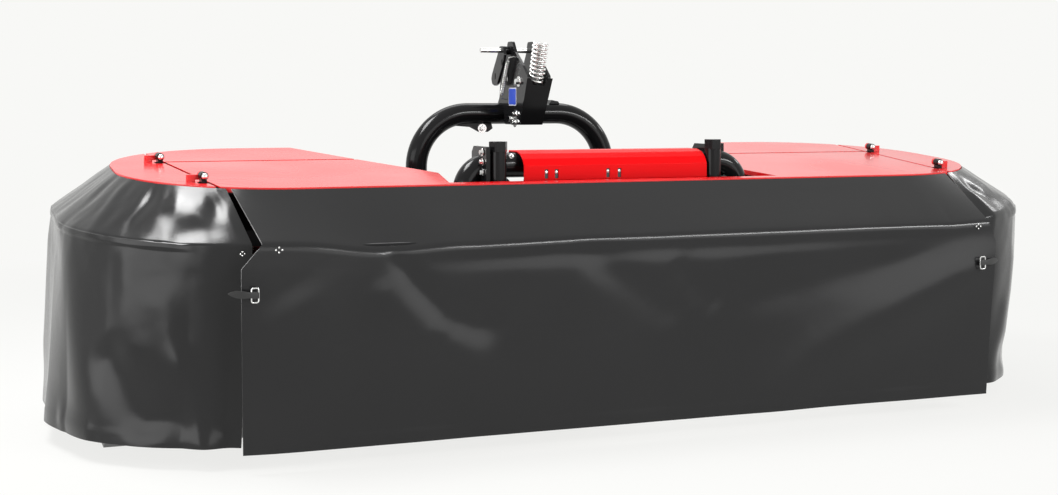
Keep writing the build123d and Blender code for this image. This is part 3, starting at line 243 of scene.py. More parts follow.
class MowerStage(bpy.types.PropertyGroup):
    lens: FloatProperty(name="Lens", description="Focal length of the camera", default=51.04)
    lamps: FloatProperty(name="Lamps", description="Strength of all lamps", default=1.0, min=0.0)
    fill: FloatProperty(name="Fill", description="Level of the room's own light", default=0.32, min=0.0)


GROUPS = {
    "mower_cloth": MowerCloth,
    "mower_colours": MowerColours,
    "mower_fixings": MowerFixings,
    "mower_stage": MowerStage,
}


# ---------------------------------------------------------------- meshes
def new_object(name, data):
    made = bpy.data.objects.new(name, data)
    bpy.context.scene.collection.objects.link(made)
    return made


def show(name, mesh, body, slot, *materials, smooth=True, angle=35.0):
    """Makes a finished piece of a mesh or an open shape: it rides on a body and wears its materials."""
    if isinstance(mesh, bmesh.types.BMesh):
        mesh = to_mesh(name, mesh)
    piece = new_object(name, mesh)
    for material in materials:
        mesh.materials.append(material)
    if smooth:
        mesh.shade_smooth()
        mesh.set_sharp_from_angle(angle=radians(angle))
    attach(piece, body)
    return piece


def to_mesh(name, shape):
    bmesh.ops.recalc_face_normals(shape, faces=shape.faces)
    mesh = bpy.data.meshes.new(name)
    shape.to_mesh(mesh)
    shape.free()
    return mesh


def set_at(place, axis="X", angle=pi / 2):
    """A place with a turn about one axis. A right angle about X stands a plate up, facing -Y."""
    return Matrix.Translation(place) @ Matrix.Rotation(angle, 4, axis)


def skin(shape, rings, loop=False):
    """Joins rings of points, or single points, one to the next, and closes both ends or the loop."""
    rings = [[shape.verts.new(point) for point in ring] for ring in rings]
    for low, high in zip(rings, rings[1:] + rings[: int(loop)]):
        count = max(len(low), len(high))
        for i in range(count):
            j = (i + 1) % count
            corners = (low[i % len(low)], low[j % len(low)], high[j % len(high)], high[i % len(high)])
            shape.faces.new(tuple(dict.fromkeys(corners)))
    for end in () if loop else (rings[0][::-1], rings[-1]):
        if len(end) > 1:
            shape.faces.new(end)


def circle(radius, steps):
    """Points (x, y) round a circle."""
    return [(radius * cos(tau * i / steps), radius * sin(tau * i / steps)) for i in range(steps)]


def lathe(shape, profile, steps=24):
    """Adds a turned form: (radius, height) points from its foot's middle to its top's middle."""
    rounds = [(circle(radius, steps if radius else 1), height) for radius, height in profile]
    skin(shape, [[(x, y, height) for x, y in points] for points, height in rounds])


def plate(shape, outline, thickness, place, bevel=0.0):
    """Adds a flat plate from its (x, y) outline, with an optional chamfer round its top."""
    middle = sum((Vector(point) for point in outline), Vector((0, 0))) / len(outline)
    levels = [(0.0, 0.0), (thickness - bevel, 0.0)] + ([(thickness, bevel)] if bevel else [])
    rings = []
    for height, inset in levels:
        arms = [Vector(point) - middle for point in outline]
        spots = [middle + arm * (1 - inset / max(arm.length, 1e-6)) for arm in arms]
        rings.append([place @ Vector((*spot, height)) for spot in spots])
    skin(shape, rings)


def tube(shape, points, radius, steps=10, closed=False):
    """Adds a round bar along points."""
    points = [Vector(p) for p in points]
    count = len(points)
    rings = []
    side = None
    for i, point in enumerate(points):
        before = points[i - 1] if closed or i else point
        after = points[(i + 1) % count] if closed or i < count - 1 else point
        run = (after - before).normalized()
        if side is None:
            side = run.orthogonal().normalized()
        side = (side - run * side.dot(run)).normalized()
        rings.append([point + side * x + run.cross(side) * y for x, y in circle(radius, steps)])
    skin(shape, rings, closed)


def rounded(width, height, radius, steps=5):
    """The outline of a rectangle with rounded corners."""
    points = []
    for sx, sy, start in ((1, 1, 0), (-1, 1, 90), (-1, -1, 180), (1, -1, 270)):
        x, y = sx * (width / 2 - radius), sy * (height / 2 - radius)
        angles = [radians(start + 90 * i / steps) for i in range(steps + 1)]
        points += [(x + radius * cos(angle), y + radius * sin(angle)) for angle in angles]
    return points


# ---------------------------------------------------------------- materials
def add(tree, kind, inputs=None, **settings):
    """Adds a shader or geometry node. Inputs are values or other nodes' sockets."""
    node = tree.nodes.new(kind)
    for key, value in settings.items():
        setattr(node, key, value)
    for key, value in (inputs or {}).items():
        socket = node.inputs[key]
        if isinstance(value, bpy.types.NodeSocket):
            tree.links.new(value, socket)
        else:
            socket.default_value = value
    return node


def material(name, colour, roughness, **sockets):
    """A principled material, its node tree and its shader."""
    made = bpy.data.materials.new(name)
    made.use_nodes = True
    tree = made.node_tree
    shader = tree.nodes["Principled BSDF"]
    shader.inputs["Base Color"].default_value = (*colour, 1)
    shader.inputs["Roughness"].default_value = roughness
    for key, value in sockets.items():
        shader.inputs[key.replace("_", " ")].default_value = value
    return made, tree, shader


def clouds(tree, place, scale, detail):
    return add(tree, "ShaderNodeTexNoise", {"Vector": place, "Scale": scale, "Detail": detail}).outputs["Fac"]


def object_noise(tree, scale, detail, stretch=(1, 1, 1)):
    place = add(tree, "ShaderNodeTexCoord").outputs["Object"]
    place = add(tree, "ShaderNodeMapping", {"Vector": place, "Scale": stretch}).outputs[0]
    return clouds(tree, place, scale, detail)


def worked(tree, operation, *values):
    return add(tree, "ShaderNodeMath", dict(enumerate(values)), operation=operation).outputs[0]


def ranged(tree, value, low, high, start=0.3, end=0.7):
    inputs = {"Value": value, "From Min": start, "From Max": end, "To Min": low, "To Max": high}
    return add(tree, "ShaderNodeMapRange", inputs, interpolation_type="SMOOTHSTEP").outputs[0]


def bumped(tree, shader, height, distance, strength=1.0, edges=0.0):
    """Gives the shader a bump, on edges rounded by the given radius."""
    inputs = {"Height": height, "Distance": distance, "Strength": strength}
    if edges:
        inputs["Normal"] = add(tree, "ShaderNodeBevel", {"Radius": edges}, samples=4).outputs[0]
    bump = add(tree, "ShaderNodeBump", inputs)
    tree.links.new(bump.outputs[0], shader.inputs["Normal"])


def tinted(tree, shader, colour, value, darker=0.85, lighter=1.12):
    """Lets the base colour drift between a darker and a lighter tint of itself."""
    low = (*[c * darker for c in colour], 1)
    high = (*[min(1.0, c * lighter) for c in colour], 1)
    mix = add(tree, "ShaderNodeMix", {"Factor": value, 6: low, 7: high}, data_type="RGBA")
    tree.links.new(mix.outputs[2], shader.inputs["Base Color"])


def worn(tree, shader, under, radius, reach=(0.02, 0.25)):
    """Shows bare metal where edges have lost their paint."""
    soft = add(tree, "ShaderNodeBevel", {"Radius": radius}, samples=4).outputs[0]
    hard = add(tree, "ShaderNodeNewGeometry").outputs["Normal"]
    along = add(tree, "ShaderNodeVectorMath", {0: soft, 1: hard}, operation="DOT_PRODUCT").outputs["Value"]
    limits = {"Value": along, "From Min": 1.0 - reach[0], "From Max": 1.0 - reach[1]}
    edge = add(tree, "ShaderNodeMapRange", limits)
    chips = ranged(tree, object_noise(tree, 90.0, 5.0), 0.0, 1.0, 0.42, 0.6)
    share = worked(tree, "MULTIPLY", edge.outputs[0], chips)
    paint = shader.inputs["Base Color"].links[0].from_socket
    mix = add(tree, "ShaderNodeMix", {"Factor": share, 6: paint, 7: (*under, 1)}, data_type="RGBA")
    tree.links.new(mix.outputs[2], shader.inputs["Base Color"])


def paint(name, colour, roughness, coat, edges, peel=0.00004, wear=None, **sockets):
    """Sprayed paint: a faint orange peel, slow drifts of tint and gloss, rounded edges."""
    made, tree, shader = material(name, colour, roughness, Coat_Weight=coat, Coat_Roughness=0.06, **sockets)
    slow = object_noise(tree, 2.5, 2.0)
    tinted(tree, shader, colour, slow, 0.93, 1.05)
    tree.links.new(ranged(tree, slow, roughness * 0.85, roughness * 1.2), shader.inputs["Roughness"])
    bumped(tree, shader, object_noise(tree, 420.0, 1.0), peel, 0.6, edges)
    if wear:
        worn(tree, shader, wear, edges * 2.5)
    return made


def metal(name, colour, roughness, scale, stretch=(1, 1, 1), edges=0.0008):
    """Bare or plated steel with fine streaks."""
    made, tree, shader = material(name, colour, roughness, Metallic=1.0)
    streaks = object_noise(tree, scale, 4.0, stretch)
    tinted(tree, shader, colour, streaks, 0.8, 1.1)
    tree.links.new(ranged(tree, streaks, roughness * 0.7, roughness * 1.4), shader.inputs["Roughness"])
    bumped(tree, shader, streaks, 0.00005, 0.5, edges)
    return made


def cloth_material(name, colour):
    """Coated cloth: a scrim that shows faintly through the coat, and uneven gloss. Its UVs are in metres."""
    made, tree, shader = material(name, colour, 0.14, Specular_IOR_Level=0.26)
    uv = add(tree, "ShaderNodeUVMap", uv_map="cloth").outputs[0]
    threads = {"Vector": uv, "Scale": 260.0, "Distortion": 0.6, "Detail": 1.0}
    weave = [add(tree, "ShaderNodeTexWave", threads, bands_direction=way) for way in ("X", "Y")]
    scrim = worked(tree, "MULTIPLY", *[node.outputs["Fac"] for node in weave])
    slow = clouds(tree, uv, 3.0, 1.0)
    tinted(tree, shader, colour, slow, 0.92, 1.06)
    tree.links.new(ranged(tree, slow, 0.12, 0.18), shader.inputs["Roughness"])
    height = worked(tree, "MULTIPLY_ADD", clouds(tree, uv, 34.0, 2.0), 6.0, scrim)
    bumped(tree, shader, height, 0.00004, 0.5)
    return made


FINISHES = {}


def finish(name):
    """The finish of that name, made on first use."""
    if not FINISHES:
        colours = bpy.context.scene.mower_colours
        black = tuple(colours.black)
        bare = (0.32, 0.31, 0.3)
        FINISHES.update(
            red_paint=paint("red_paint", tuple(colours.red), 0.26, 0.22, 0.0012, Specular_IOR_Level=0.5),
            cover_red=paint("cover_red", tuple(colours.red), 0.3, 0.0, 0.0012, Specular_IOR_Level=0.06),
            black_paint=paint("black_paint", black, 0.14, 0.0, 0.0014, Specular_IOR_Level=0.18),
            disc_paint=paint("disc_paint", (0.02, 0.02, 0.022), 0.38, 0.2, 0.0012, wear=bare),
            dark_steel=paint("dark_steel", (0.032, 0.032, 0.034), 0.42, 0.1, 0.0015, wear=bare),
            cast_black=paint("cast_black", (0.02, 0.02, 0.022), 0.45, 0.1, 0.003, peel=0.0005),
            zinc_steel=metal("zinc_steel", (0.74, 0.74, 0.73), 0.2, 60.0),
            knife_steel=metal("knife_steel", (0.52, 0.52, 0.53), 0.3, 30.0, (1, 14, 1)),
            black_plastic=paint("black_plastic", (0.022, 0.022, 0.023), 0.48, 0.0, 0.002, peel=0.0002),
            black_vinyl=cloth_material("black_vinyl", tuple(colours.vinyl)),
            cut_edge=paint("cut_edge", (0.36, 0.36, 0.36), 0.6, 0.0, 0.0004),
            pale_edge=paint("pale_edge", (0.55, 0.57, 0.66), 0.5, 0.0, 0.0004, Specular_IOR_Level=0.1),
            rubber=paint("rubber", (0.012, 0.012, 0.012), 0.42, 0.0, 0.0006),
            sign_blue=paint("sign_blue", tuple(colours.plate), 0.4, 0.0, 0.0004, Specular_IOR_Level=0.08),
        )
    return FINISHES[name]


# ---------------------------------------------------------------- cloth
def cover_point(x, y, w):
    """The point of the tilted cover that lies y back along it, with w up from its top."""
    v = y - COVER_FRONT_Y
    y = COVER_FRONT_Y + v * cos(COVER_TILT) - w * sin(COVER_TILT)
    return np.array([x, y + SHIFT, COVER_FRONT_Z + v * sin(COVER_TILT) + w * cos(COVER_TILT)])


def level_point(x, y, z):
    return np.array([x, y + SHIFT, z])


def across(edges, share):
    """From the left edge at 0 to the right edge at 1."""
    return edges[0] + (edges[1] - edges[0]) * share


def corner_y(outline, x):
    """Where an outline's front is at a distance x from the middle."""
    reach = max(0.0, abs(x) - outline.side + outline.front_radius)
    return outline.front + outline.front_radius - sqrt(outline.front_radius**2 - reach**2)


def round_end(outline):
    """Points (x, y) round the right end of an outline: its front corner, its side and its rear corner."""
    front, rear = outline.front_radius, outline.rear_radius
    front_x, rear_x = outline.side - front, outline.side - rear
    front_y, rear_y = outline.front + front, outline.rear - rear
    start = asin((outline.seam_front - front_x) / front)
    end = asin((outline.seam_rear - rear_x) / rear)
    points = []
    front_steps, side_steps, rear_steps = SIDE_COLUMNS
    for angle in np.linspace(start, pi / 2, front_steps, endpoint=False):
        points.append((front_x + front * sin(angle), front_y - front * cos(angle)))
    points += [(outline.side, y) for y in np.linspace(front_y, rear_y, side_steps, endpoint=False)]
    for angle in np.linspace(pi / 2, end, rear_steps + 1):
        points.append((rear_x + rear * sin(angle), rear_y + rear * cos(angle)))
    return points


def hang(top, bend, hem, steps, turn):
    """Rows of a cloth from its top over a rounded bend to its hem. steps is (slope, bend, skirt)."""
    slope, skirt = bend - top, hem - bend
    reach = [turn / np.linalg.norm(run, axis=1)[:, None] for run in (slope, skirt)]
    before, after = bend - slope * reach[0], bend + skirt * reach[1]
    rows = [top + (before - top) * t for t in np.linspace(0, 1, steps[0], endpoint=False)]
    for t in np.linspace(0, 1, steps[1], endpoint=False):
        rows.append(before * (1 - t) ** 2 + bend * (2 * t * (1 - t)) + after * t**2)
    shares = np.linspace(0, 1, steps[2]) ** 1.15
    rows += [after + (hem - after) * t for t in shares]
    return np.array(rows)


def away_from(grid):
    """Unit normals of a grid of rows down and columns along, pointing out of the mower."""
    down = np.gradient(grid, axis=0)
    along = np.gradient(grid, axis=1)
    out = np.cross(down, along)
    return out / np.maximum(np.linalg.norm(out, axis=2)[..., None], 1e-12)


def creased(along, height, creases):
    """The rise of all creases at every point."""
    total = np.zeros(along.shape)
    for crease in creases:
        run = np.array(crease.run)
        lengths = np.linalg.norm(np.diff(run, axis=0), axis=1)
        starts = np.concatenate([[0], np.cumsum(lengths)]) / lengths.sum()
        best = np.full(along.shape, 1e9)
        share = np.zeros(along.shape)
        for a, b, s0, s1 in zip(run, run[1:], starts, starts[1:]):
            step = b - a
            t = np.clip(((along - a[0]) * step[0] + (height - a[1]) * step[1]) / (step @ step), 0, 1)
            far = np.hypot(along - a[0] - t * step[0], height - a[1] - t * step[1])
            share = np.where(far < best, s0 + t * (s1 - s0), share)
            best = np.minimum(best, far)
        rise = crease.rise[0] + share * (crease.rise[1] - crease.rise[0])
        width = crease.width[0] + share * (crease.width[1] - crease.width[0])
        fade = np.clip(np.minimum(share, 1 - share) / 0.22, 0, 1)
        total += rise * fade**2 * (3 - 2 * fade) * np.exp(-((best / width) ** 2))
    return total


def noised(along, height, scale, seed):
    """Unevenness from -1 to 1, of a scale along and a scale in height."""
    places = zip(along.ravel() * scale[0], height.ravel() * scale[1])
    return np.array([noise.noise(Vector((*place, seed))) for place in places]).reshape(along.shape)


def rippled(along, height, seed):
    """Slow unevenness with a finer one on it."""
    return noised(along, height, (3.1, 3.1), seed) + 0.45 * noised(along, height, (9.0, 7.0), seed + 5)


def stepped(distance, width):
    """1 within the width of an edge and 0 past it, with a short ramp."""
    return np.clip((width + RAMP - distance) / RAMP, 0, 1)


def measured(grid, axis):
    """Lengths along a grid from its first row or its first column."""
    steps = np.linalg.norm(np.diff(grid, axis=axis), axis=2)
    return np.concatenate([np.zeros_like(steps.take([0], axis)), np.cumsum(steps, axis=axis)], axis=axis)


def make_cloth(name, grid, body, rise, hems, lip=None):
    """A closed cloth from its outer face. hems names the edges with a welded strip."""
    sizes = bpy.context.scene.mower_cloth
    down, along = measured(grid, 0), measured(grid, 1)
    edges = {"left": along, "right": along[:, -1:] - along, "hem": down[-1:] - down}
    out = away_from(grid)
    proud = rise.copy()
    for edge in hems:
        proud += sizes.hem_rise * stepped(edges[edge], sizes.hem)
    if lip is not None:
        proud += lip
    outer = grid + out * proud[..., None]
    normals = away_from(outer)
    inner = outer - normals * sizes.thickness
    first = outer[:-1, :-1]
    meshes = np.cross(outer[1:, :-1] - first, outer[:-1, 1:] - first)
    area = float(np.linalg.norm(meshes, axis=2).sum())
    rows, columns = grid.shape[:2]
    shape = bmesh.new()
    layers = [[[shape.verts.new(p) for p in row] for row in layer] for layer in (outer, inner)]
    uv = shape.loops.layers.uv.new("cloth")
    cells = [(r, c) for r in range(rows) for c in range(columns)]
    flat = {layer[r][c]: (along[r, c], -down[r, c]) for layer in layers for r, c in cells}
    front, back = layers
    for r in range(rows - 1):
        for c in range(columns - 1):
            shape.faces.new((front[r][c], front[r + 1][c], front[r + 1][c + 1], front[r][c + 1]))
            shape.faces.new((back[r][c + 1], back[r + 1][c + 1], back[r + 1][c], back[r][c]))
    rim = [(r, 0) for r in range(rows)] + [(rows - 1, c) for c in range(1, columns)]
    rim += [(r, columns - 1) for r in range(rows - 2, -1, -1)] + [(0, c) for c in range(columns - 2, 0, -1)]
    for (r0, c0), (r1, c1) in zip(rim, rim[1:] + rim[:1]):
        face = shape.faces.new((front[r0][c0], back[r0][c0], back[r1][c1], front[r1][c1]))
        face.material_index = 1
    for face in shape.faces:
        for loop in face.loops:
            loop[uv].uv = flat[loop.vert]
    piece = show(name, shape, body, "black_vinyl", finish("black_vinyl"), finish("cut_edge"), angle=50)
    width, length = float(along[:, -1].max()), float(down[-1].max())
    return piece, (width, length), min(area, width * length)


class MOWER_OT_front_apron(bpy.types.Operator):
    """Hang the front cloth from the cover's front edge, over its rail"""

    bl_idname = "mower.front_apron"
    bl_label = "Front apron"

    def execute(self, context):
        sizes = context.scene.mower_cloth
        shares = np.linspace(0, 1, sizes.columns)
        top, bend, hem = [], [], []
        bend_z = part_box("front_apron_skirt")[1].z - 0.0005
        for share in shares:
            x = across(FRONT_TOP_X, share)
            top.append(cover_point(x, corner_y(PLATE, x), -TOP_SET) - np.array([0, TOP_GAP, 0]))
            x = across(FRONT_BEND_X, share)
            slack = sum(part * np.exp(-(((x - middle) / width) ** 2)) for middle, width, part in FRONT_SAGS)
            lift = np.interp(x, *np.array(FRONT_LIFT).T)
            bend.append(level_point(x, FRONT_BEND_Y - 0.002 * slack, bend_z + lift - sizes.sag * slack))
            hem.append(level_point(across(FRONT_HEM_X, share), DRAWN_HEM_Y + 0.003, FRONT_HEM_Z))
        grid = hang(np.array(top), np.array(bend), np.array(hem), FRONT_ROWS, sizes.bend)
        drop = np.array(bend)[None, :, 2] - grid[..., 2]
        drops = (0.0, FRONT_CORNER_DROP, FRONT_HEM_DROP)
        edges = [np.interp(drop, drops, line) for line in zip(FRONT_BEND_X, FRONT_CORNER_X, FRONT_HEM_X)]
        grid[..., 0] = np.where(drop > 0, across(edges, shares[None, :]), grid[..., 0])
        rise = sizes.crease * creased(grid[..., 0], grid[..., 2], FRONT_CREASES)
        # the slope above the bend is held, so it ripples less and less
        held = np.clip((grid[..., 2] - 0.02 - bend_z) / 0.06, 0, 1)
        rise += sizes.ripple * (1 - held) * rippled(grid[..., 0], grid[..., 2], 1.0)
        piece, flat, area = make_cloth("front_apron", grid, "front_guard", rise, ("hem",))
        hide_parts("front_apron_top", "front_apron_skirt")
        return {"FINISHED"}


class MOWER_OT_side_aprons(bpy.types.Operator):
    """Hang the cloths round both ends, over their bent rails"""

    bl_idname = "mower.side_aprons"
    bl_label = "Side aprons"

    def execute(self, context):
        sizes = context.scene.mower_cloth
        for name, side, seed, seam, hem_line, bend_line in (
            ("right", 1, 11.0, RIGHT_SEAM, RIGHT_HEM, RIGHT_BEND),
            ("left", -1, 23.0, LEFT_SEAM, LEFT_HEM, LEFT_BEND),
        ):
            lines = [round_end(line._replace(seam_front=x)) for line, x in zip((PLATE, BEND, HEM), seam)]
            top = np.array([cover_point(x, y, -TOP_SET) for x, y in lines[0]])
            bend = np.array([cover_point(x, y, -BEND_DROP) for x, y in lines[1]])
            hem = np.array([level_point(x, y, SIDE_HEM_Z) for x, y in lines[2]])
            top[:, :2] += TOP_GAP * (bend - top)[:, :2] / np.linalg.norm((bend - top)[:, :2], axis=1)[:, None]
            grid = hang(top, bend, hem, SIDE_ROWS, SIDE_TURN)
            along = measured(bend[None], 1) * np.ones((grid.shape[0], 1))
            drop = bend[None, :, 2] - grid[..., 2]
            # the lip runs just under the bend and starts some way round from the front seam
            lip = LIP_RISE * np.where(drop > 0.002, stepped(drop, sizes.lip), 0)
            lip = lip * np.clip((along - 0.12) / 0.06, 0, 1)
            share = along / along[0, SIDE_COLUMNS[0]]
            low = np.clip(drop / (bend[None, :, 2] - SIDE_HEM_Z), 0, 1)
            slope = np.clip(1 - drop / (bend - top)[None, :, 2], 0, 1)
            rise = sizes.crease * creased(along, grid[..., 2] - (bend[None, :, 2] - bend[0, 2]), SIDE_CREASES)
            rise += np.interp(share, *np.array(hem_line).T) * low**1.3
            rise += np.interp(share, *np.array(bend_line).T) * slope * (1 - low)
            dents = noised(along, grid[..., 2], (26.0, 26.0), seed)
            rise += sizes.dent * dents * np.clip(slope * 4, 0, 1) * (1 - low) ** 4
            # the ripple starts a little below the top edge
            near = np.clip((drop + 0.095) / 0.03, 0, 1)
            rise += sizes.ripple * near * rippled(along, grid[..., 2], seed)
            if side < 0:
                grid[..., 0] *= -1
                grid, rise, lip = grid[:, ::-1], rise[:, ::-1], lip[:, ::-1]
            hems = ("left", "right", "hem")
            piece, flat, area = make_cloth(f"side_apron_{name}_cloth", grid, f"{name}_guard", rise, hems, lip)
            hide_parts(f"side_apron_{name}")
        return {"FINISHED"}


class MOWER_OT_rear_aprons(bpy.types.Operator):
    """Hang the short cloths behind the swath boards"""

    bl_idname = "mower.rear_aprons"
    bl_label = "Rear aprons"

    def execute(self, context):
        sizes = context.scene.mower_cloth
        runs = []
        # outline, where the cloth starts, and how far it keeps from the outline and from its seam
        edges = (
            (PLATE, REAR_TOP_X, 0.0, REAR_SEAM),
            (BEND, REAR_CURTAIN_X, 0.0, REAR_SEAM),
            (HEM, REAR_CURTAIN_X, 0.008, REAR_SEAM + 0.006),
        )
        for outline, inner, inset, gap in edges:
            radius = outline.rear_radius
            points = []
            for x in np.linspace(inner, outline.seam_rear - gap, REAR_COLUMNS):
                reach = max(0.0, x - outline.side + radius)
                points.append((x, outline.rear - radius + sqrt(radius**2 - reach**2) - inset))
            runs.append(points)
        top = np.array([cover_point(x, y, -TOP_SET) + np.array([0, TOP_GAP, 0]) for x, y in runs[0]])
        bend = np.array([cover_point(x, y, -BEND_DROP) for x, y in runs[1]])
        hem = np.array([level_point(x, y, REAR_HEM_Z) for x, y in runs[2]])
        grid = hang(top, bend, hem, REAR_ROWS, SIDE_TURN)
        along = np.abs(grid[..., 0]) - REAR_CURTAIN_X
        near = np.clip((grid[:1, :, 2] - grid[..., 2]) / 0.06, 0, 1)
        for name, side, seed in (("right", 1, 31.0), ("left", -1, 43.0)):
            rise = sizes.crease * creased(along, grid[..., 2], REAR_CREASES)
            rise = near * (rise + sizes.ripple * rippled(along, grid[..., 2], seed))
            # a cloth's columns run anticlockwise as seen from above
            turned = grid[:, ::-1] if side > 0 else grid * (-1, 1, 1)
            rise = rise[:, ::-1] if side > 0 else rise
            hems = ("left", "right", "hem")
            piece, flat, area = make_cloth(f"rear_apron_{name}_cloth", turned, "frame", rise, hems)
            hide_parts("rear_aprons")
        return {"FINISHED"}


# ---------------------------------------------------------------- fixings
# The ways a fixing can stand
UP, FRONT, BACK, LEFT, RIGHT = (0, 0, 1), (0, -1, 0), (0, 1, 0), (-1, 0, 0), (1, 0, 0)
KNIFE_BOLT_AT = 0.163
DISC_TOP_Z = 0.085
DRUM_HEIGHT = 0.233
# How far the cutter bar's bolts sit below the top of its box
BAR_SINK = 0.0207
# The slots in the beam cover
SLOT_X = (-0.179, -0.153, -0.019, 0.011)


def start_tree(name, **inputs):
    """A geometry tree and its given values. Inputs are names and kinds of socket."""
    tree = bpy.data.node_groups.new(name, "GeometryNodeTree")
    tree.interface.new_socket("Geometry", in_out="OUTPUT", socket_type="NodeSocketGeometry")
    for key, kind in inputs.items():
        tree.interface.new_socket(key, in_out="INPUT", socket_type=f"NodeSocket{kind}")
    return tree, add(tree, "NodeGroupInput").outputs


def end_tree(tree, geometry, finish_socket):
    """Makes the geometry real, gives it its finish and hands it out."""
    real = add(tree, "GeometryNodeRealizeInstances", {"Geometry": geometry}).outputs[0]
    dressed = add(tree, "GeometryNodeSetMaterial", {"Geometry": real, "Material": finish_socket}).outputs[0]
    add(tree, "NodeGroupOutput", {"Geometry": dressed})
    return tree


def fixing_tree():
    """Sets one fixing on every point, standing along its aim and turned about it at random."""
    sockets = {"Points": "Geometry", "Fixing": "Object", "Finish": "Material", "Size": "Float", "Seed": "Int"}
    tree, given = start_tree("Place fixings", **sockets)
    source = add(tree, "GeometryNodeObjectInfo", {"Object": given["Fixing"], "As Instance": True})
    pattern = source.outputs["Geometry"]
    kind = "GeometryNodeInputNamedAttribute"
    aim = add(tree, kind, {"Name": "aim"}, data_type="FLOAT_VECTOR").outputs["Attribute"]
    size = add(tree, kind, {"Name": "size"}, data_type="FLOAT").outputs["Attribute"]
    stand = add(tree, "FunctionNodeAlignRotationToVector", {"Vector": aim}, axis="Z").outputs[0]
    spin = add(tree, "FunctionNodeRandomValue", {"Seed": given["Seed"], 3: tau}, data_type="FLOAT")
    twist = add(tree, "FunctionNodeAxisAngleToRotation", {"Angle": spin.outputs[1]}).outputs[0]
    turn = add(tree, "FunctionNodeRotateRotation", {0: stand, 1: twist}, rotation_space="LOCAL").outputs[0]
    scale = worked(tree, "MULTIPLY", size, given["Size"])
    setting = {"Points": given["Points"], "Instance": pattern, "Rotation": turn, "Scale": scale}
    placed = add(tree, "GeometryNodeInstanceOnPoints", setting).outputs[0]
    return end_tree(tree, placed, given["Finish"])


def settle(carrier, tree, values):
    """Runs a tree on an object and returns the plain mesh it makes. The carrier goes."""
    modifier = carrier.modifiers.new("Making", "NODES")
    modifier.node_group = tree
    for item in tree.interface.items_tree:
        if item.item_type == "SOCKET" and item.in_out == "INPUT" and item.name in values:
            modifier[item.identifier] = values[item.name]
    carrier.update_tag()
    evaluated = carrier.evaluated_get(bpy.context.evaluated_depsgraph_get())
    mesh = bpy.data.meshes.new_from_object(evaluated)
    bpy.data.objects.remove(carrier)
    return mesh


def hex_bolt():
    """A hexagon head on its washer, one across its flats."""
    shape = bmesh.new()
    lathe(shape, [(0, 0), (0.92, 0), (0.95, 0.04), (0.92, 0.13), (0, 0.13)], 20)
    flats = 1 / sqrt(3)
    lathe(shape, [(0, 0.12), (flats, 0.12), (flats, 0.62), (flats * 0.9, 0.7), (0, 0.7)], 6)
    return shape


def hex_nut():
    """A nut on its washer with the bolt's end standing out of it."""
    shape = hex_bolt()
    lathe(shape, [(0, 0.66), (0.3, 0.66), (0.3, 0.92), (0.25, 0.97), (0, 0.97)], 12)
    return shape


def cloth_rivet():
    """A domed head on a thin cup washer, of radius one."""
    shape = bmesh.new()
    lathe(shape, [(0, 0), (1.0, 0), (0.97, 0.16), (0.66, 0.22), (0.6, 0.42), (0.36, 0.58), (0, 0.64)], 14)
    return shape


def grease_nipple():
    """A grease nipple, of height one."""
    shape = bmesh.new()
    foot = [(0, 0), (0.42, 0), (0.42, 0.3), (0.2, 0.34)]
    lathe(shape, foot + [(0.2, 0.62), (0.3, 0.76), (0.2, 0.95), (0, 1.0)], 8)
    return shape


PATTERNS = {"bolt": hex_bolt, "nut": hex_nut, "rivet": cloth_rivet, "nipple": grease_nipple}


def place_fixings(name, kind, body, spots, size):
    """One mesh of like fixings for one body. spots are (point, aim, relative size)."""
    pattern = new_object(f"{kind}_pattern", to_mesh(f"{kind}_pattern", PATTERNS[kind]()))
    points = bpy.data.meshes.new("spots")
    points.from_pydata([spot[0] for spot in spots], [], [])
    aims = points.attributes.new("aim", "FLOAT_VECTOR", "POINT")
    aims.data.foreach_set("vector", np.array([spot[1] for spot in spots], np.float32).ravel())
    scales = points.attributes.new("size", "FLOAT", "POINT")
    scales.data.foreach_set("value", np.array([spot[2] for spot in spots], np.float32))
    carrier = new_object("spots", points)
    tree = bpy.data.node_groups.get("Place fixings") or fixing_tree()
    values = {
        "Fixing": pattern,
        "Finish": finish("zinc_steel"),
        "Size": size,
        "Seed": bpy.context.scene.mower_fixings.seed,
    }
    mesh = settle(carrier, tree, values)
    bpy.data.objects.remove(pattern)
    return show(name, mesh, body, "zinc_steel")


def ring_spots(centre, axis, radius, count, size=1.0):
    """Spots round a circle, all aimed along its axis."""
    turn = Vector(UP).rotation_difference(Vector(axis)).to_matrix()
    return [(Vector(centre) + turn @ Vector((x, y, 0)), axis, size) for x, y in circle(radius, count)]


def mirrored(spots):
    """The spots and their mirror images on the other side."""
    return spots + [((-p[0], p[1], p[2]), (-a[0], a[1], a[2]), s) for p, a, s in spots]


class MOWER_OT_cloth_fixings(bpy.types.Operator):
    """Rivet the cloths at their corners"""

    bl_idname = "mower.cloth_fixings"
    bl_label = "Cloth rivets"

    def execute(self, context):
        size = context.scene.mower_fixings.rivet
        y = FRONT_BEND_Y + SHIFT - 0.0012
        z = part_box("front_apron_skirt")[1].z
        gap = 0.0066
        diamond = [(gap, 0), (-gap, 0), (0, gap * 0.8), (0, -gap * 0.8)]
        corners = ((FRONT_BEND_X[0] + 0.034, z - 0.002), (FRONT_BEND_X[1] - 0.034, z - 0.007))
        spots = [((x + dx, y, rivet_z + dz), FRONT, 1.0) for x, rivet_z in corners for dx, dz in diamond]
        place_fixings("front_apron_rivets", "rivet", "front_guard", spots, size)
        x, y, z = BEND.seam_front + 0.022, corner_y(BEND, BEND.seam_front + 0.022) + SHIFT, z - 0.012
        spots = [((-x + dx * 0.7, y - 0.0035, z + dz * 0.7), (-0.35, -0.94, 0), 0.8) for dx, dz in diamond]
        place_fixings("side_apron_rivets", "rivet", "left_guard", spots, size)
        return {"FINISHED"}


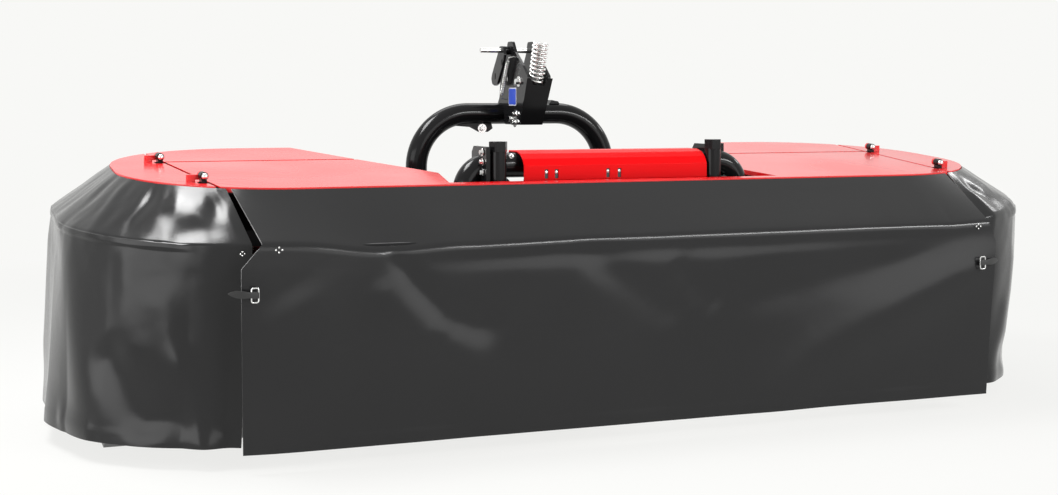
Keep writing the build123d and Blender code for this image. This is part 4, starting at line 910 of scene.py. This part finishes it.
class MOWER_OT_frame_fixings(bpy.types.Operator):
    """Bolt together the beams, gearboxes, cutter bar and skids, trim the beam cover and paint shade into its
    slots
    """

    bl_idname = "mower.frame_fixings"
    bl_label = "Frame bolts"

    def execute(self, context):
        bar_low, bar_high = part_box("cutter_bar")
        bar_top = bar_high.z - BAR_SINK
        boxes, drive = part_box("gearboxes"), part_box("drive_housings")
        drive_y, drive_z = (boxes[0].y + boxes[1].y) / 2, (drive[0].z + drive[1].z) / 2
        spots = ring_spots((drive[0].x + 0.012, drive_y, drive_z), RIGHT, 0.043, 6, 0.9)
        spots += ring_spots((-0.092, drive_y, drive_z), LEFT, 0.043, 6, 0.9)
        spots += ring_spots((0, boxes[1].y + 0.012, drive_z), BACK, 0.047, 6, 0.9)
        row = np.linspace(bar_low.x + 0.05, bar_high.x - 0.05, 24)
        spots += [((x, bar_high.y - 0.022, bar_top), UP, 1.0) for x in row]
        skid_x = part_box("skids")[1].x - 0.032
        upright_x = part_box("swath_boards")[1].x
        pairs = [((skid_x, y, bar_top), UP, 0.9) for y in (-0.275, -0.08, 0.04)]
        pairs += [((upright_x, y, z), RIGHT, 1.1) for y, z in ((0.118, 0.04), (0.118, 0.085), (0.14, 0.062))]
        for pair in pairs:
            spots += mirrored([pair])
        place_fixings("frame_bolts", "bolt", "frame", spots, 0.016)

        cover_low, cover_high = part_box("beam_cover")
        fold_y, slot_z = cover_low.y, 0.602
        flange = bmesh.new()
        place = set_at(((cover_low.x + cover_high.x) / 2, fold_y + 0.0045, 0.576))
        plate(flange, rounded(cover_high.x - cover_low.x, 0.03, 0.001, 1), 0.002, place)
        show("cover_flange", flange, "frame", "red_paint", finish("cover_red"), smooth=False)
        # Dark plates sunk in the cover's slots are painted shade: they stand for the shadowed hollow behind
        # each slot
        slot_shade = bmesh.new()
        for x in SLOT_X:
            plate(slot_shade, rounded(0.0088, 0.0216, 0.001, 2), 0.0008, set_at((x, fold_y + 0.0029, slot_z)))
        show("cover_slots", slot_shade, "frame", "black_paint", finish("rubber"), smooth=False)

        cross_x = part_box("cross_tube")[1].x
        nuts = [((0.331, -0.36 + SHIFT, 0.54), RIGHT, 1.1)]
        nuts += [((cross_x, y + SHIFT, 0.285), RIGHT, 1.0) for y in (0.28, 0.32)]
        bolts = [((-0.3325, -0.4 + SHIFT, z), LEFT, 1.0) for z in (0.655, 0.632, 0.608)]
        screws = [((x, fold_y + 0.0021, slot_z + 0.004), FRONT, 1.0) for x in SLOT_X]
        place_fixings("bracket_bolts", "bolt", "frame", bolts, 0.01)
        nipple = ((-0.262, -0.404 + SHIFT, 0.645), FRONT, 1.0)
        place_fixings("beam_nipple", "nipple", "frame", [nipple], 0.014)
        place_fixings("cover_screws", "rivet", "frame", screws, 0.0036)
        place_fixings("frame_nuts", "nut", "frame", mirrored(nuts), 0.022)
        return {"FINISHED"}


class MOWER_OT_head_fixings(bpy.types.Operator):
    """Bolts, bracket and lug on the arch and its head"""

    bl_idname = "mower.head_fixings"
    bl_label = "Head and arch hardware"

    def execute(self, context):
        x = 0.034
        spots = [((-x, 0.15 + SHIFT, 0.828), LEFT, 0.8)]
        for y, z in ((0.176, 0.736), (0.204, 0.724), (0.18, 0.714)):
            spots.append(((-x, y + SHIFT, z), LEFT, 0.72))
        spots.append(((x, 0.15 + SHIFT, 0.828), RIGHT, 0.8))
        place_fixings("head_bolts", "bolt", "frame", spots, 0.02)
        # the bracket under the arch, deeper at one end, and a small lug behind it
        shape = bmesh.new()
        flat = [(-0.196, 0.004), (-0.066, 0.004), (-0.062, -0.012), (-0.076, -0.022)]
        flat += [(-0.104, -0.022), (-0.13, -0.008), (-0.19, -0.003)]
        plate(shape, flat, 0.007, set_at((0, 0.296 + SHIFT, 0.708)))
        slant = [(0.11, 0.0), (0.142, 0.0), (0.138, 0.007), (0.118, 0.011)]
        plate(shape, slant, 0.03, set_at((0, 0.315 + SHIFT, 0.7655)))
        show("arch_brackets", shape, "frame", "black_paint", finish("black_paint"), smooth=False)
        spots = [((-0.094, 0.289 + SHIFT, 0.696), FRONT, 1.0)]
        place_fixings("arch_bracket_bolt", "nut", "frame", spots, 0.014)
        return {"FINISHED"}


class MOWER_OT_disc_fixings(bpy.types.Operator):
    """Bolt the discs' crowns, drums and knives"""

    bl_idname = "mower.disc_fixings"
    bl_label = "Disc bolts"

    def execute(self, context):
        for number in range(1, 7):
            low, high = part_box(f"disc_{number}")
            centre = (low + high) / 2
            reach = Vector((KNIFE_BOLT_AT, 0, 0)) if number % 2 else Vector((0, KNIFE_BOLT_AT, 0))
            foot = Vector((centre.x, centre.y, DISC_TOP_Z))
            spots = [(foot + side * reach, UP, 1.0) for side in (-1, 1)]
            ring, top = 0.034, high.z
            if number in (1, 6):
                ring, top = 0.062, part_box(f"drum_{number}")[0].z + DRUM_HEIGHT
            spots += ring_spots((centre.x, centre.y, top), UP, ring, 4, 0.75)
            place_fixings(f"disc_{number}_nuts", "nut", f"disc_unit_{number}", spots, 0.022)
        return {"FINISHED"}


# ---------------------------------------------------------------- single pieces
def spring_tree():
    """A coil of round wire that stands along a leaning line."""
    sockets = dict.fromkeys(("Turns", "Radius", "Height", "Wire", "Lean"), "Float")
    tree, given = start_tree("Wind spring", Base="Geometry", **sockets, Foot="Vector", Finish="Material")
    sizes = {"Resolution": 40, "Rotations": given["Turns"], "Height": given["Height"]}
    sizes |= {"Start Radius": given["Radius"], "End Radius": given["Radius"]}
    coil = add(tree, "GeometryNodeCurveSpiral", sizes).outputs[0]
    half = worked(tree, "MULTIPLY", given["Wire"], 0.5)
    ring = {"Resolution": 12, "Radius": half}
    section = add(tree, "GeometryNodeCurvePrimitiveCircle", ring, mode="RADIUS").outputs[0]
    sweep = {"Curve": coil, "Profile Curve": section, "Fill Caps": True}
    wire = add(tree, "GeometryNodeCurveToMesh", sweep).outputs[0]
    angles = add(tree, "ShaderNodeCombineXYZ", {"X": given["Lean"]}).outputs[0]
    move = {"Geometry": wire, "Translation": given["Foot"], "Rotation": angles}
    placed = add(tree, "GeometryNodeTransform", move).outputs[0]
    return end_tree(tree, placed, given["Finish"])


def wind_coil(name, foot, top, turns, radius, wire):
    """A coil spring of zinc wire from its foot to its top, in a plane of constant X."""
    run = (top - foot).normalized()
    base = bpy.data.meshes.new("coil")
    base.from_pydata([(0, 0, 0)], [], [])
    carrier = new_object("coil", base)
    values = {
        "Turns": turns,
        "Radius": radius,
        "Height": (top - foot).length - wire,
        "Wire": wire,
        "Foot": foot + run * wire / 2,
        "Lean": atan2(-run.y, run.z),
        "Finish": finish("zinc_steel"),
    }
    tree = bpy.data.node_groups.get("Wind spring") or spring_tree()
    shape = bmesh.new()
    shape.from_mesh(settle(carrier, tree, values))
    return show(name, shape, "frame", "zinc_steel", finish("zinc_steel"))


class MOWER_OT_head_spring(bpy.types.Operator):
    """Wind the wire spring that stands on the head, and the thin pull spring"""

    bl_idname = "mower.head_spring"
    bl_label = "Head spring"

    def execute(self, context):
        sizes = context.scene.mower_fixings
        foot, top = Vector((0, 0.106 + SHIFT, 0.826)), Vector((0, 0.071 + SHIFT, 0.937))
        piece = wind_coil("head_spring_coil", foot, top, sizes.turns, sizes.coil, sizes.wire)
        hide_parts("head_spring")
        # the thin pull spring down the rear of the left head plate
        foot, top = Vector((-0.05, 0.246 + SHIFT, 0.792)), Vector((-0.05, 0.196 + SHIFT, 0.884))
        wind_coil("pull_spring", foot, top, 17.0, 0.0044, 0.0024)
        hooks = bmesh.new()
        for at, run in ((foot, foot - top), (top, top - foot)):
            run = run.normalized()
            tube(hooks, [at, at + run * 0.012, at + run * 0.016 + Vector((0.018, 0, 0))], 0.0012, 8)
        show("pull_spring_hooks", hooks, "frame", "zinc_steel", finish("zinc_steel"))
        return {"FINISHED"}


class MOWER_OT_input_splines(bpy.types.Operator):
    """Cut the splines and the lock groove of the input shaft"""

    bl_idname = "mower.input_splines"
    bl_label = "Input splines"

    def execute(self, context):
        low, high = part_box("input_shaft")
        axis_z = (low.z + high.z) / 2
        face_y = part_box("drive_housings")[1].y
        crown, root, journal = 0.0174, 0.0149, 0.022
        levels = [
            (low.y, journal, journal),
            (face_y, journal, journal),
            (face_y, crown, root),
            (high.y - 0.03, crown, root),
            (high.y - 0.029, 0.0145, 0.0145),
            (high.y - 0.021, 0.0145, 0.0145),
            (high.y - 0.02, crown, root),
            (high.y - 0.003, crown, root),
            (high.y, crown - 0.003, root - 0.002),
        ]
        teeth, per_tooth, wide = 6, 12, 7
        rings = []
        for y, outer, inner in levels:
            turn = circle(1.0, teeth * per_tooth)
            radii = [outer if i % per_tooth < wide else inner for i in range(len(turn))]
            rings.append([(radius * x, y, axis_z + radius * z) for radius, (x, z) in zip(radii, turn)])
        shape = bmesh.new()
        skin(shape, rings)
        piece = show("input_splines", shape, "input", "zinc_steel", finish("zinc_steel"), angle=20)
        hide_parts("input_shaft")
        return {"FINISHED"}


class MOWER_OT_straps(bpy.types.Operator):
    """Buckle the front cloth's corners with rubber straps"""

    bl_idname = "mower.straps"
    bl_label = "Straps and buckles"

    def execute(self, context):
        y = DRAWN_HEM_Y + SHIFT - 0.0005
        # a leaf's half width at shares of its length, and its section: (depth, share of the half width)
        halves = ((0.0, 0.006), (0.15, 0.0075), (0.3, 0.006), (0.55, 0.008))
        halves += ((0.75, 0.0075), (0.92, 0.004), (1.0, 0.001))
        section = ((-0.0012, -1), (-0.0018, 0), (-0.0012, 1), (0.0012, 1), (0.0012, -1))
        for name, side, z in (("left", -1, 0.374), ("right", 1, 0.37)):
            x = side * 0.912
            shape = bmesh.new()
            ring = [(x + px, y - 0.004, z + pz) for px, pz in rounded(0.015, 0.03, 0.004, 4)]
            tube(shape, ring, 0.0017, 8, closed=True)
            show(f"buckle_{name}", shape, "front_guard", "zinc_steel", finish("zinc_steel"))
            rings = []
            for share, half in halves:
                px = x + side * (0.062 * share - 0.008)
                py = y - 0.005 + 0.012 * max(0.0, (share - 0.45) / 0.55) ** 1.2
                rings.append([(px, py + depth, z + 0.004 * share + half * up) for depth, up in section])
            leaf = bmesh.new()
            skin(leaf, rings)
            show(f"strap_{name}", leaf, "front_guard", "black_plastic", finish("rubber"))
        return {"FINISHED"}


class MOWER_OT_sign_plates(bpy.types.Operator):
    """Fix the blank sign plates to the head and the front cloth"""

    bl_idname = "mower.sign_plates"
    bl_label = "Blank sign plates"

    def execute(self, context):
        on_head = set_at((-0.0341, 0.2 + SHIFT, 0.786), "Y", -pi / 2)
        slope = atan2(BEND_DROP - 0.012, 0.14)
        on_cloth = set_at((0.405, -0.494 + SHIFT, 0.5665), "X", slope)
        beside_it = set_at((0.368, -0.487 + SHIFT, 0.5725), "X", slope)
        # place, (width, height, corner radius), thickness and chamfer. The head's plate has a pale rim.
        for name, place, outline, thickness, chamfer, coat in (
            ("rim_head", on_head, (0.05, 0.06, 0.004), 0.0008, 0.0004, "pale_edge"),
            ("sign_head", on_head, (0.044, 0.054, 0.004), 0.0014, 0.0004, "sign_blue"),
            ("sign_front", on_cloth, (0.046, 0.03, 0.003), 0.0016, 0.0005, "sign_blue"),
            ("tab_front", beside_it, (0.018, 0.012, 0.003), 0.003, 0.0008, "rubber"),
        ):
            shape = bmesh.new()
            plate(shape, rounded(*outline), thickness, place, chamfer)
            body = "frame" if place is on_head else "front_guard"
            slot = "black_plastic" if coat == "rubber" else "black_paint"
            show(name, shape, body, slot, finish(coat), angle=20)
        return {"FINISHED"}


class MOWER_OT_lynch_pins(bpy.types.Operator):
    """Hang a lynch pin in each hitch pin"""

    bl_idname = "mower.lynch_pins"
    bl_label = "Lynch pins"

    def execute(self, context):
        low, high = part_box("hitch_pins")
        y, z = (low.y + high.y) / 2, (low.z + high.z) / 2
        shape = bmesh.new()
        for side in (-1, 1):
            x = side * (high.x - 0.014)
            tube(shape, [(x, y, z - 0.024), (x, y, z + 0.03)], 0.0045, 12)
            ring = [(x + side * 0.004, y + py, z + 0.004 + pz) for pz, py in circle(0.026, 36)]
            tube(shape, ring, 0.0019, 8, closed=True)
        show("lynch_pins", shape, "frame", "zinc_steel", finish("zinc_steel"))
        return {"FINISHED"}


class MOWER_OT_finishes(bpy.types.Operator):
    """Give every solid of the frame its own finish"""

    bl_idname = "mower.finishes"
    bl_label = "Finishes"

    def execute(self, context):
        slots = {item["node"]: item["material_slot"] for item in frame["record"]["subparts"]}
        for name, node in frame["nodes"].items():
            node.data.materials.clear()
            node.data.materials.append(finish("cover_red" if name == "beam_cover" else slots[name]))
            node.data.shade_smooth()
            node.data.set_sharp_from_angle(angle=radians(28))
        return {"FINISHED"}


# ---------------------------------------------------------------- stage
def seen_or_mirrored(tree):
    """1 for what the camera, a reflection or glass sees, 0 for light on the object."""
    path = add(tree, "ShaderNodeLightPath").outputs
    total = path["Is Camera Ray"]
    for other in ("Is Glossy Ray", "Is Transmission Ray"):
        total = worked(tree, "MAXIMUM", total, path[other])
    return total


class MOWER_OT_stage(bpy.types.Operator):
    """Set the camera, the floor, the backdrop and the soft lamps"""

    bl_idname = "mower.stage"
    bl_label = "Stage"

    def execute(self, context):
        scene = context.scene
        setup = scene.mower_stage
        camera = bpy.data.cameras.new("camera")
        camera.lens = setup.lens
        camera.sensor_width = 36.0
        camera.shift_y = -0.1422
        camera.clip_end = 100.0
        seat = new_object("camera", camera)
        seat.location = (-1.492, -3.74 + SHIFT, 0.785)
        seat.rotation_euler = (pi / 2, 0, radians(-20.93))
        scene.camera = seat
        colour = (*scene.mower_colours.floor, 1)

        floor = bpy.data.meshes.new("floor")
        half, drop = 30.0, -0.0008
        corners = [(x * half, y * half, drop) for x, y in ((-1, -1), (1, -1), (1, 1), (-1, 1))]
        floor.from_pydata(corners, [], [(0, 1, 2, 3)])
        ground = new_object("floor", floor)
        made = bpy.data.materials.new("floor")
        made.use_nodes = True
        tree = made.node_tree
        tree.nodes.remove(tree.nodes["Principled BSDF"])
        lit = add(tree, "ShaderNodeBsdfDiffuse", {"Color": (0.8, 0.8, 0.79, 1)}).outputs[0]
        glow = add(tree, "ShaderNodeEmission", {"Color": colour}).outputs[0]
        spot = add(tree, "ShaderNodeNewGeometry").outputs["Position"]
        far = add(tree, "ShaderNodeVectorMath", {0: spot}, operation="LENGTH").outputs["Value"]
        limits = {"Value": far, "From Min": 1.2, "From Max": 4.0, "To Min": 0.86}
        plain = add(tree, "ShaderNodeMapRange", limits).outputs[0]
        share = worked(tree, "MULTIPLY", seen_or_mirrored(tree), plain)
        mixed = add(tree, "ShaderNodeMixShader", {0: share, 1: lit, 2: glow}).outputs[0]
        tree.links.new(mixed, tree.nodes["Material Output"].inputs["Surface"])
        floor.materials.append(made)

        world = bpy.data.worlds.new("studio")
        world.use_nodes = True
        scene.world = world
        tree = world.node_tree
        plain = tree.nodes["Background"]
        plain.inputs["Color"].default_value = (1, 1, 1, 1)
        plain.inputs["Strength"].default_value = setup.fill
        shown = add(tree, "ShaderNodeBackground", {"Color": colour, "Strength": 1.0}).outputs[0]
        shares = {0: seen_or_mirrored(tree), 1: plain.outputs[0], 2: shown}
        mixed = add(tree, "ShaderNodeMixShader", shares).outputs[0]
        tree.links.new(mixed, tree.nodes["World Output"].inputs["Surface"])

        # place, aim, width and height, and how bright each looks beside the white of the room
        for name, place, aim, size, bright in (
            ("strip", (2.6, -4.4, 2.5), (0.3, -0.4, 0.4), (3.6, 0.5), 30.0),
            ("front_wall", (2.0, -5.6, 1.5), (0.4, 0.0, 0.5), (6.0, 2.0), 1.7),
            ("left_wall", (-4.4, -1.4, 1.1), (-0.6, 0.0, 0.6), (3.6, 2.0), 2.6),
            ("patch", (-1.9, 0.2, 3.0), (-1.0, -0.5, 0.5), (1.7, 0.9), 26.0),
            ("right_patch", (3.8, 0.7, 2.2), (1.0, -0.5, 0.5), (0.7, 0.35), 11.0),
            ("overhead", (0.4, 1.9, 3.3), (0.2, 0.1, 0.5), (3.0, 1.2), 3.0),
        ):
            lamp = bpy.data.lights.new(name, "AREA")
            lamp.shape = "RECTANGLE"
            lamp.size, lamp.size_y = size
            lamp.energy = pi * size[0] * size[1] * bright * setup.lamps
            holder = new_object(name, lamp)
            holder.location = place
            holder.rotation_euler = (Vector(aim) - Vector(place)).to_track_quat("-Z", "Y").to_euler()
            holder.visible_camera = False
        scene.view_settings.view_transform = "Standard"
        return {"FINISHED"}


# ---------------------------------------------------------------- add-on
# In the order in which they run
OPERATORS = (
    MOWER_OT_stage,
    MOWER_OT_finishes,
    MOWER_OT_front_apron,
    MOWER_OT_side_aprons,
    MOWER_OT_rear_aprons,
    MOWER_OT_cloth_fixings,
    MOWER_OT_straps,
    MOWER_OT_sign_plates,
    MOWER_OT_head_spring,
    MOWER_OT_head_fixings,
    MOWER_OT_frame_fixings,
    MOWER_OT_disc_fixings,
    MOWER_OT_input_splines,
    MOWER_OT_lynch_pins,
)


class MOWER_PT_panel(bpy.types.Panel):
    """Lists the mower's sizes and the steps that dress it"""

    bl_idname = "MOWER_PT_panel"
    bl_label = "Disc mower"
    bl_space_type = "VIEW_3D"
    bl_region_type = "UI"
    bl_category = "Mower"

    def draw(self, context):
        for name, group in GROUPS.items():
            box = self.layout.box()
            box.label(text=name.removeprefix("mower_").capitalize())
            for key in group.__annotations__:
                box.prop(getattr(context.scene, name), key)
        for operator in OPERATORS:
            self.layout.operator(operator.bl_idname)


CLASSES = (*GROUPS.values(), *OPERATORS, MOWER_PT_panel)


def register():
    for cls in CLASSES:
        bpy.utils.register_class(cls)
    for name, group in GROUPS.items():
        setattr(bpy.types.Scene, name, PointerProperty(type=group))


def unregister():
    for name in GROUPS:
        delattr(bpy.types.Scene, name)
    for cls in reversed(CLASSES):
        bpy.utils.unregister_class(cls)


def main():
    register()
    for operator in OPERATORS:
        getattr(bpy.ops.mower, operator.bl_idname.removeprefix("mower."))()


if __name__ == "__main__":
    main()
